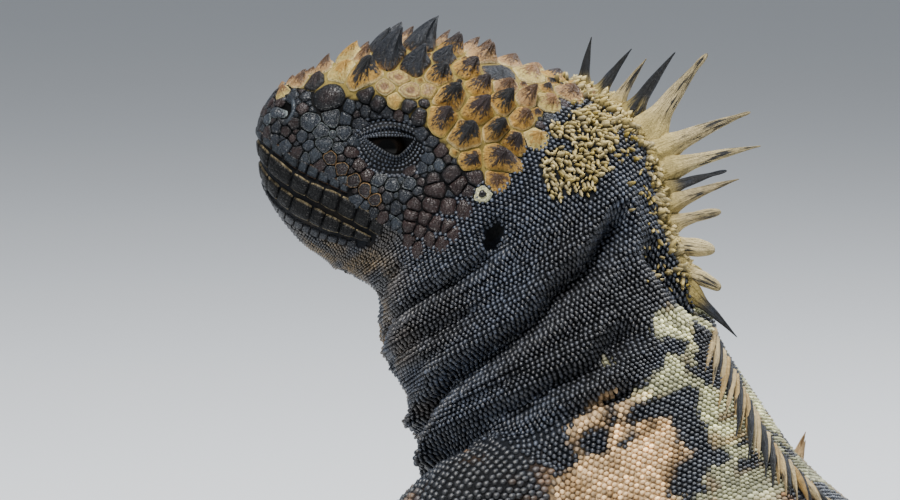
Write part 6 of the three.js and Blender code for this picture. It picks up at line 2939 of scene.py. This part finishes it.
class Studio:
    """Floor, lights and camera."""

    lamps = (
        Lamp("key", 0.2, 0.5, 1.15, 0.4, 30, (1.0, 0.97, 0.92)),
        Lamp("sky", -0.3, -0.3, 1.7, 1.2, 24, (0.82, 0.9, 1.0)),
        Lamp("rim", -0.9, -0.5, 0.9, 0.5, 18, (0.95, 0.97, 1.0)),
    )
    sky_colour: Colour = (0.78, 0.84, 0.92, 1)
    sky_strength = 0.38
    floor_size = 60  # metres
    sensor = 36  # mm
    view_width = 254.0  # mm across the picture
    distance = 1600.0
    picture = (900, 500)
    mark = (388, 145)  # the picture's pixel where the head's origin shows
    height_angle = 5.5  # degrees the camera looks down

    def aim(self) -> tuple[Array, Array, Array]:
        """Where the camera looks.

        Returns:
            The picture's centre, the direction from there back to the camera, and the picture's ahead.
        """
        tilt, yaw = math.radians(self.height_angle), math.radians(HEAD.yaw)
        ahead = np.array([math.cos(yaw), math.sin(yaw), 0])
        side = np.array([-ahead[1], ahead[0], 0])
        back = side * math.cos(tilt) + np.array([0, 0, math.sin(tilt)])
        up = np.array([0, 0, math.cos(tilt)]) - side * math.sin(tilt)
        scale = self.view_width / self.picture[0]
        shift_x = (self.picture[0] / 2 - self.mark[0]) * scale
        shift_y = (self.picture[1] / 2 - self.mark[1]) * scale
        return np.array(HEAD.origin) - ahead * shift_x - up * shift_y, back, ahead

    def place_camera(self) -> None:
        """Sets the camera at the photograph's viewing angle."""
        centre, back, _ = self.aim()
        data = bpy.data.cameras.new("camera")
        camera = bpy.data.objects.new("camera", data)
        bpy.context.scene.collection.objects.link(camera)
        camera.location = Vector((centre + back * self.distance) * MM)
        camera.rotation_euler = Vector(back).to_track_quat("Z", "Y").to_euler()
        data.sensor_width = self.sensor
        data.lens = self.sensor * self.distance / self.view_width
        data.clip_start = 0.05
        data.clip_end = 200
        bpy.context.scene.camera = camera

    def hang(self, lamp: Lamp) -> None:
        """Hangs a light.

        Args:
            lamp: Its place, size, power and colour.
        """
        centre, back, ahead = self.aim()
        offset = ahead * lamp.ahead + back * lamp.back + np.array([0, 0, lamp.above])
        data = bpy.data.lights.new(lamp.name, "AREA")
        data.size = lamp.size
        data.energy = lamp.watts
        data.color = lamp.colour
        light = bpy.data.objects.new(lamp.name, data)
        bpy.context.scene.collection.objects.link(light)
        light.location = Vector(centre * MM) + Vector(offset)
        light.rotation_euler = Vector(offset).to_track_quat("Z", "Y").to_euler()

    def build(self) -> None:
        """Builds the studio."""
        bpy.ops.object.select_all(action="DESELECT")
        bpy.ops.mesh.primitive_plane_add(size=self.floor_size, location=(0, 0, 0))
        floor = bpy.context.active_object
        floor.name = "floor"
        bpy.ops.object.transform_apply(location=True, rotation=True, scale=True)
        floor.data.materials.append(FloorFinish().material())
        for lamp in self.lamps:
            self.hang(lamp)
        world = bpy.data.worlds.new("studio")
        world.use_nodes = True
        sky = world.node_tree.nodes["Background"]
        sky.inputs["Color"].default_value = self.sky_colour
        sky.inputs["Strength"].default_value = self.sky_strength
        bpy.context.scene.world = world
        self.place_camera()


class Dresser:
    """Puts pieces on the frame: what each rides on and takes its finish from, and hides the nodes it stands for."""

    # How the names of the flesh nodes start, which the one skin stands for.
    flesh = (
        "head", "lower_jaw", "neck", "torso", "tail", "upper_arm", "forearm", "hand", "thigh", "shank", "foot",
    )  # fmt: skip

    def __init__(self, frame: dict) -> None:
        """Keeps the frame's node names."""
        self.nodes = sorted(frame["nodes"])

    def named(self, *words: str) -> list[str]:
        """The nodes whose names start with one of the words."""
        return [n for n in self.nodes if n.startswith(words)]

    def dress(
        self, piece: bpy.types.Object, material: bpy.types.Material | None = None, nodes: tuple = ()
    ) -> None:
        """Mounts one piece.

        Args:
            piece: The object.
            material: Its finish, if it has none yet.
            nodes: The CAD nodes it stands for.
        """
        if material is not None:
            piece.data.materials.clear()
            piece.data.materials.append(material)
        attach(piece, "root")
        if nodes:
            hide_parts(*nodes)
        log.info("%s: %d faces", piece.name, len(piece.data.polygons))


SCALE_FINISH = HornFinish(
    "glossy scales", gloss_rough=0.3, crust_rough=0.75, grain_scale=2600, cracks=0.3, bump=0.3,
    fibre_width=2.5, contrast=0.5, tip_from=0.3, tip_full=1.1, specular=0.6,
)  # fmt: skip
BOSS_FINISH = HornFinish(
    "horny bosses", gloss_rough=0.36, crust_rough=0.55, grain_scale=1100, cracks=0.5, bump=1.0,
    fibre_width=2.6, contrast=1.7, tip_from=0.26, tip_full=0.62, fibre_bump=1.0, specular=0.45,
)  # fmt: skip
PLATE_FINISH = HornFinish(
    "face plates", gloss_rough=0.27, crust_rough=0.6, grain_scale=1050, cracks=0.9, bump=1.0,
    fibre_width=1.8, contrast=0.8, tip_from=0.5, tip_full=1.2, specular=0.36,
)  # fmt: skip
LIP_FINISH = HornFinish(
    "lip plates", gloss_rough=0.33, crust_rough=0.6, grain_scale=1050, cracks=0.9, bump=1.0,
    fibre_width=1.8, contrast=0.8, tip_from=0.5, tip_full=1.2, specular=0.16,
)  # fmt: skip
SPINE_FINISH = HornFinish(
    "nape spines", gloss_rough=0.45, crust_rough=0.6, grain_scale=900, cracks=0.5, bump=1.0,
    fibre_width=2.8, contrast=3.0, tip_from=0.5, tip_full=1.0, fibre_bump=1.2,
)  # fmt: skip
LID_FINISH = HornFinish(
    "eyelids", gloss_rough=0.38, crust_rough=0.7, grain_scale=3200, cracks=0.5, bump=0.6, tip_from=2.0, tip_full=3.0
)
CLAW_FINISH = HornFinish(
    "claws", gloss_rough=0.28, crust_rough=0.4, grain_scale=1500, cracks=0.1, bump=0.3, fibre_bump=0.6
)


def main() -> None:
    """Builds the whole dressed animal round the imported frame."""
    logging.basicConfig(level=logging.INFO, format="%(name)s %(message)s")
    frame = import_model()
    dresser = Dresser(frame)
    groups = Groups()

    skin = Skin(groups).build()
    dresser.dress(skin, nodes=tuple(dresser.named(*dresser.flesh)))
    surface = SkinSurface(skin)

    tiles = HeadArmour(surface).field_of()
    boss_finish = BOSS_FINISH.material(groups)
    plate_finish = PLATE_FINISH.material(groups)
    scale_finish = SCALE_FINISH.material(groups)
    dresser.dress(tiles.build(("boss",)).to_object("crown_bosses"), boss_finish)
    plates = tiles.build(tuple(kind for kind in TILE_KINDS if kind != "boss"))
    dresser.dress(plates.to_object("face_plates"), plate_finish)
    dresser.dress(Lips(surface).build().to_object("lip_plates"), LIP_FINISH.material(groups))
    rims = MeshData.joined([Nostril(surface, side).build() for side in (1, -1)])
    dresser.dress(rims.to_object("nostril_rims"), plate_finish)

    lid_finish = LID_FINISH.material(groups)
    for side, name in ((1, "left"), (-1, "right")):
        area = EyeArea(surface, side)
        dresser.dress(area.ball(), nodes=(f"eye_{name}",))
        dresser.dress(area.lids().to_object(f"eyelids_{name}"), lid_finish)
        beads = grow_scales(Shape.BEAD, area.beads())
        dresser.dress(beads.to_object(f"eye_beads_{name}"), scale_finish)

    crest = Crest(surface)
    spine_finish = SPINE_FINISH.material(groups)
    dresser.dress(crest.nape_mesh().to_object("nape_spines"), spine_finish)
    dresser.dress(crest.back_mesh().to_object("back_crest"), spine_finish)
    dresser.dress(grow_scales(Shape.ROD, crest.crust_seats()).to_object("nape_crust"), scale_finish)

    coat = Coat(surface)
    placed = []
    for part in coat.parts:
        seats = coat.seats(part)
        if part.high > 300:
            along, up, _ = HEAD.coordinates(seats.point)
            inside = on_face(along, up) & (seats.place[:, 0] > 318)
            inside |= in_shield(seats.place[:, 0], seats.place[:, 1], along, up, 0.0)
            seats = seats.taken(~inside & ~tiles.near(seats.point, -0.45))
        placed.append(seats.point)
        made = grow_scales(part.shape, seats).to_object(part.name)
        dresser.dress(made, scale_finish)
    taken = tree_of(np.concatenate(placed))
    for limb in LIMBS:
        made = grow_scales(Shape.CONE, coat.limb_seats(limb, taken)).to_object(f"scales_{limb.pair}_{limb.side}")
        dresser.dress(made, scale_finish)

    claw_finish = CLAW_FINISH.material(groups)
    for limb in LIMBS:
        for number in range(len(limb.toes)):
            claw = Claws().mesh_of(limb, number).to_object(f"hook_{limb.pair}_{limb.side}_{number + 1}")
            dresser.dress(claw, claw_finish, (f"claw_{limb.pair}_{limb.side}_{number + 1}",))

    Studio().build()


if __name__ == "__main__":
    main()
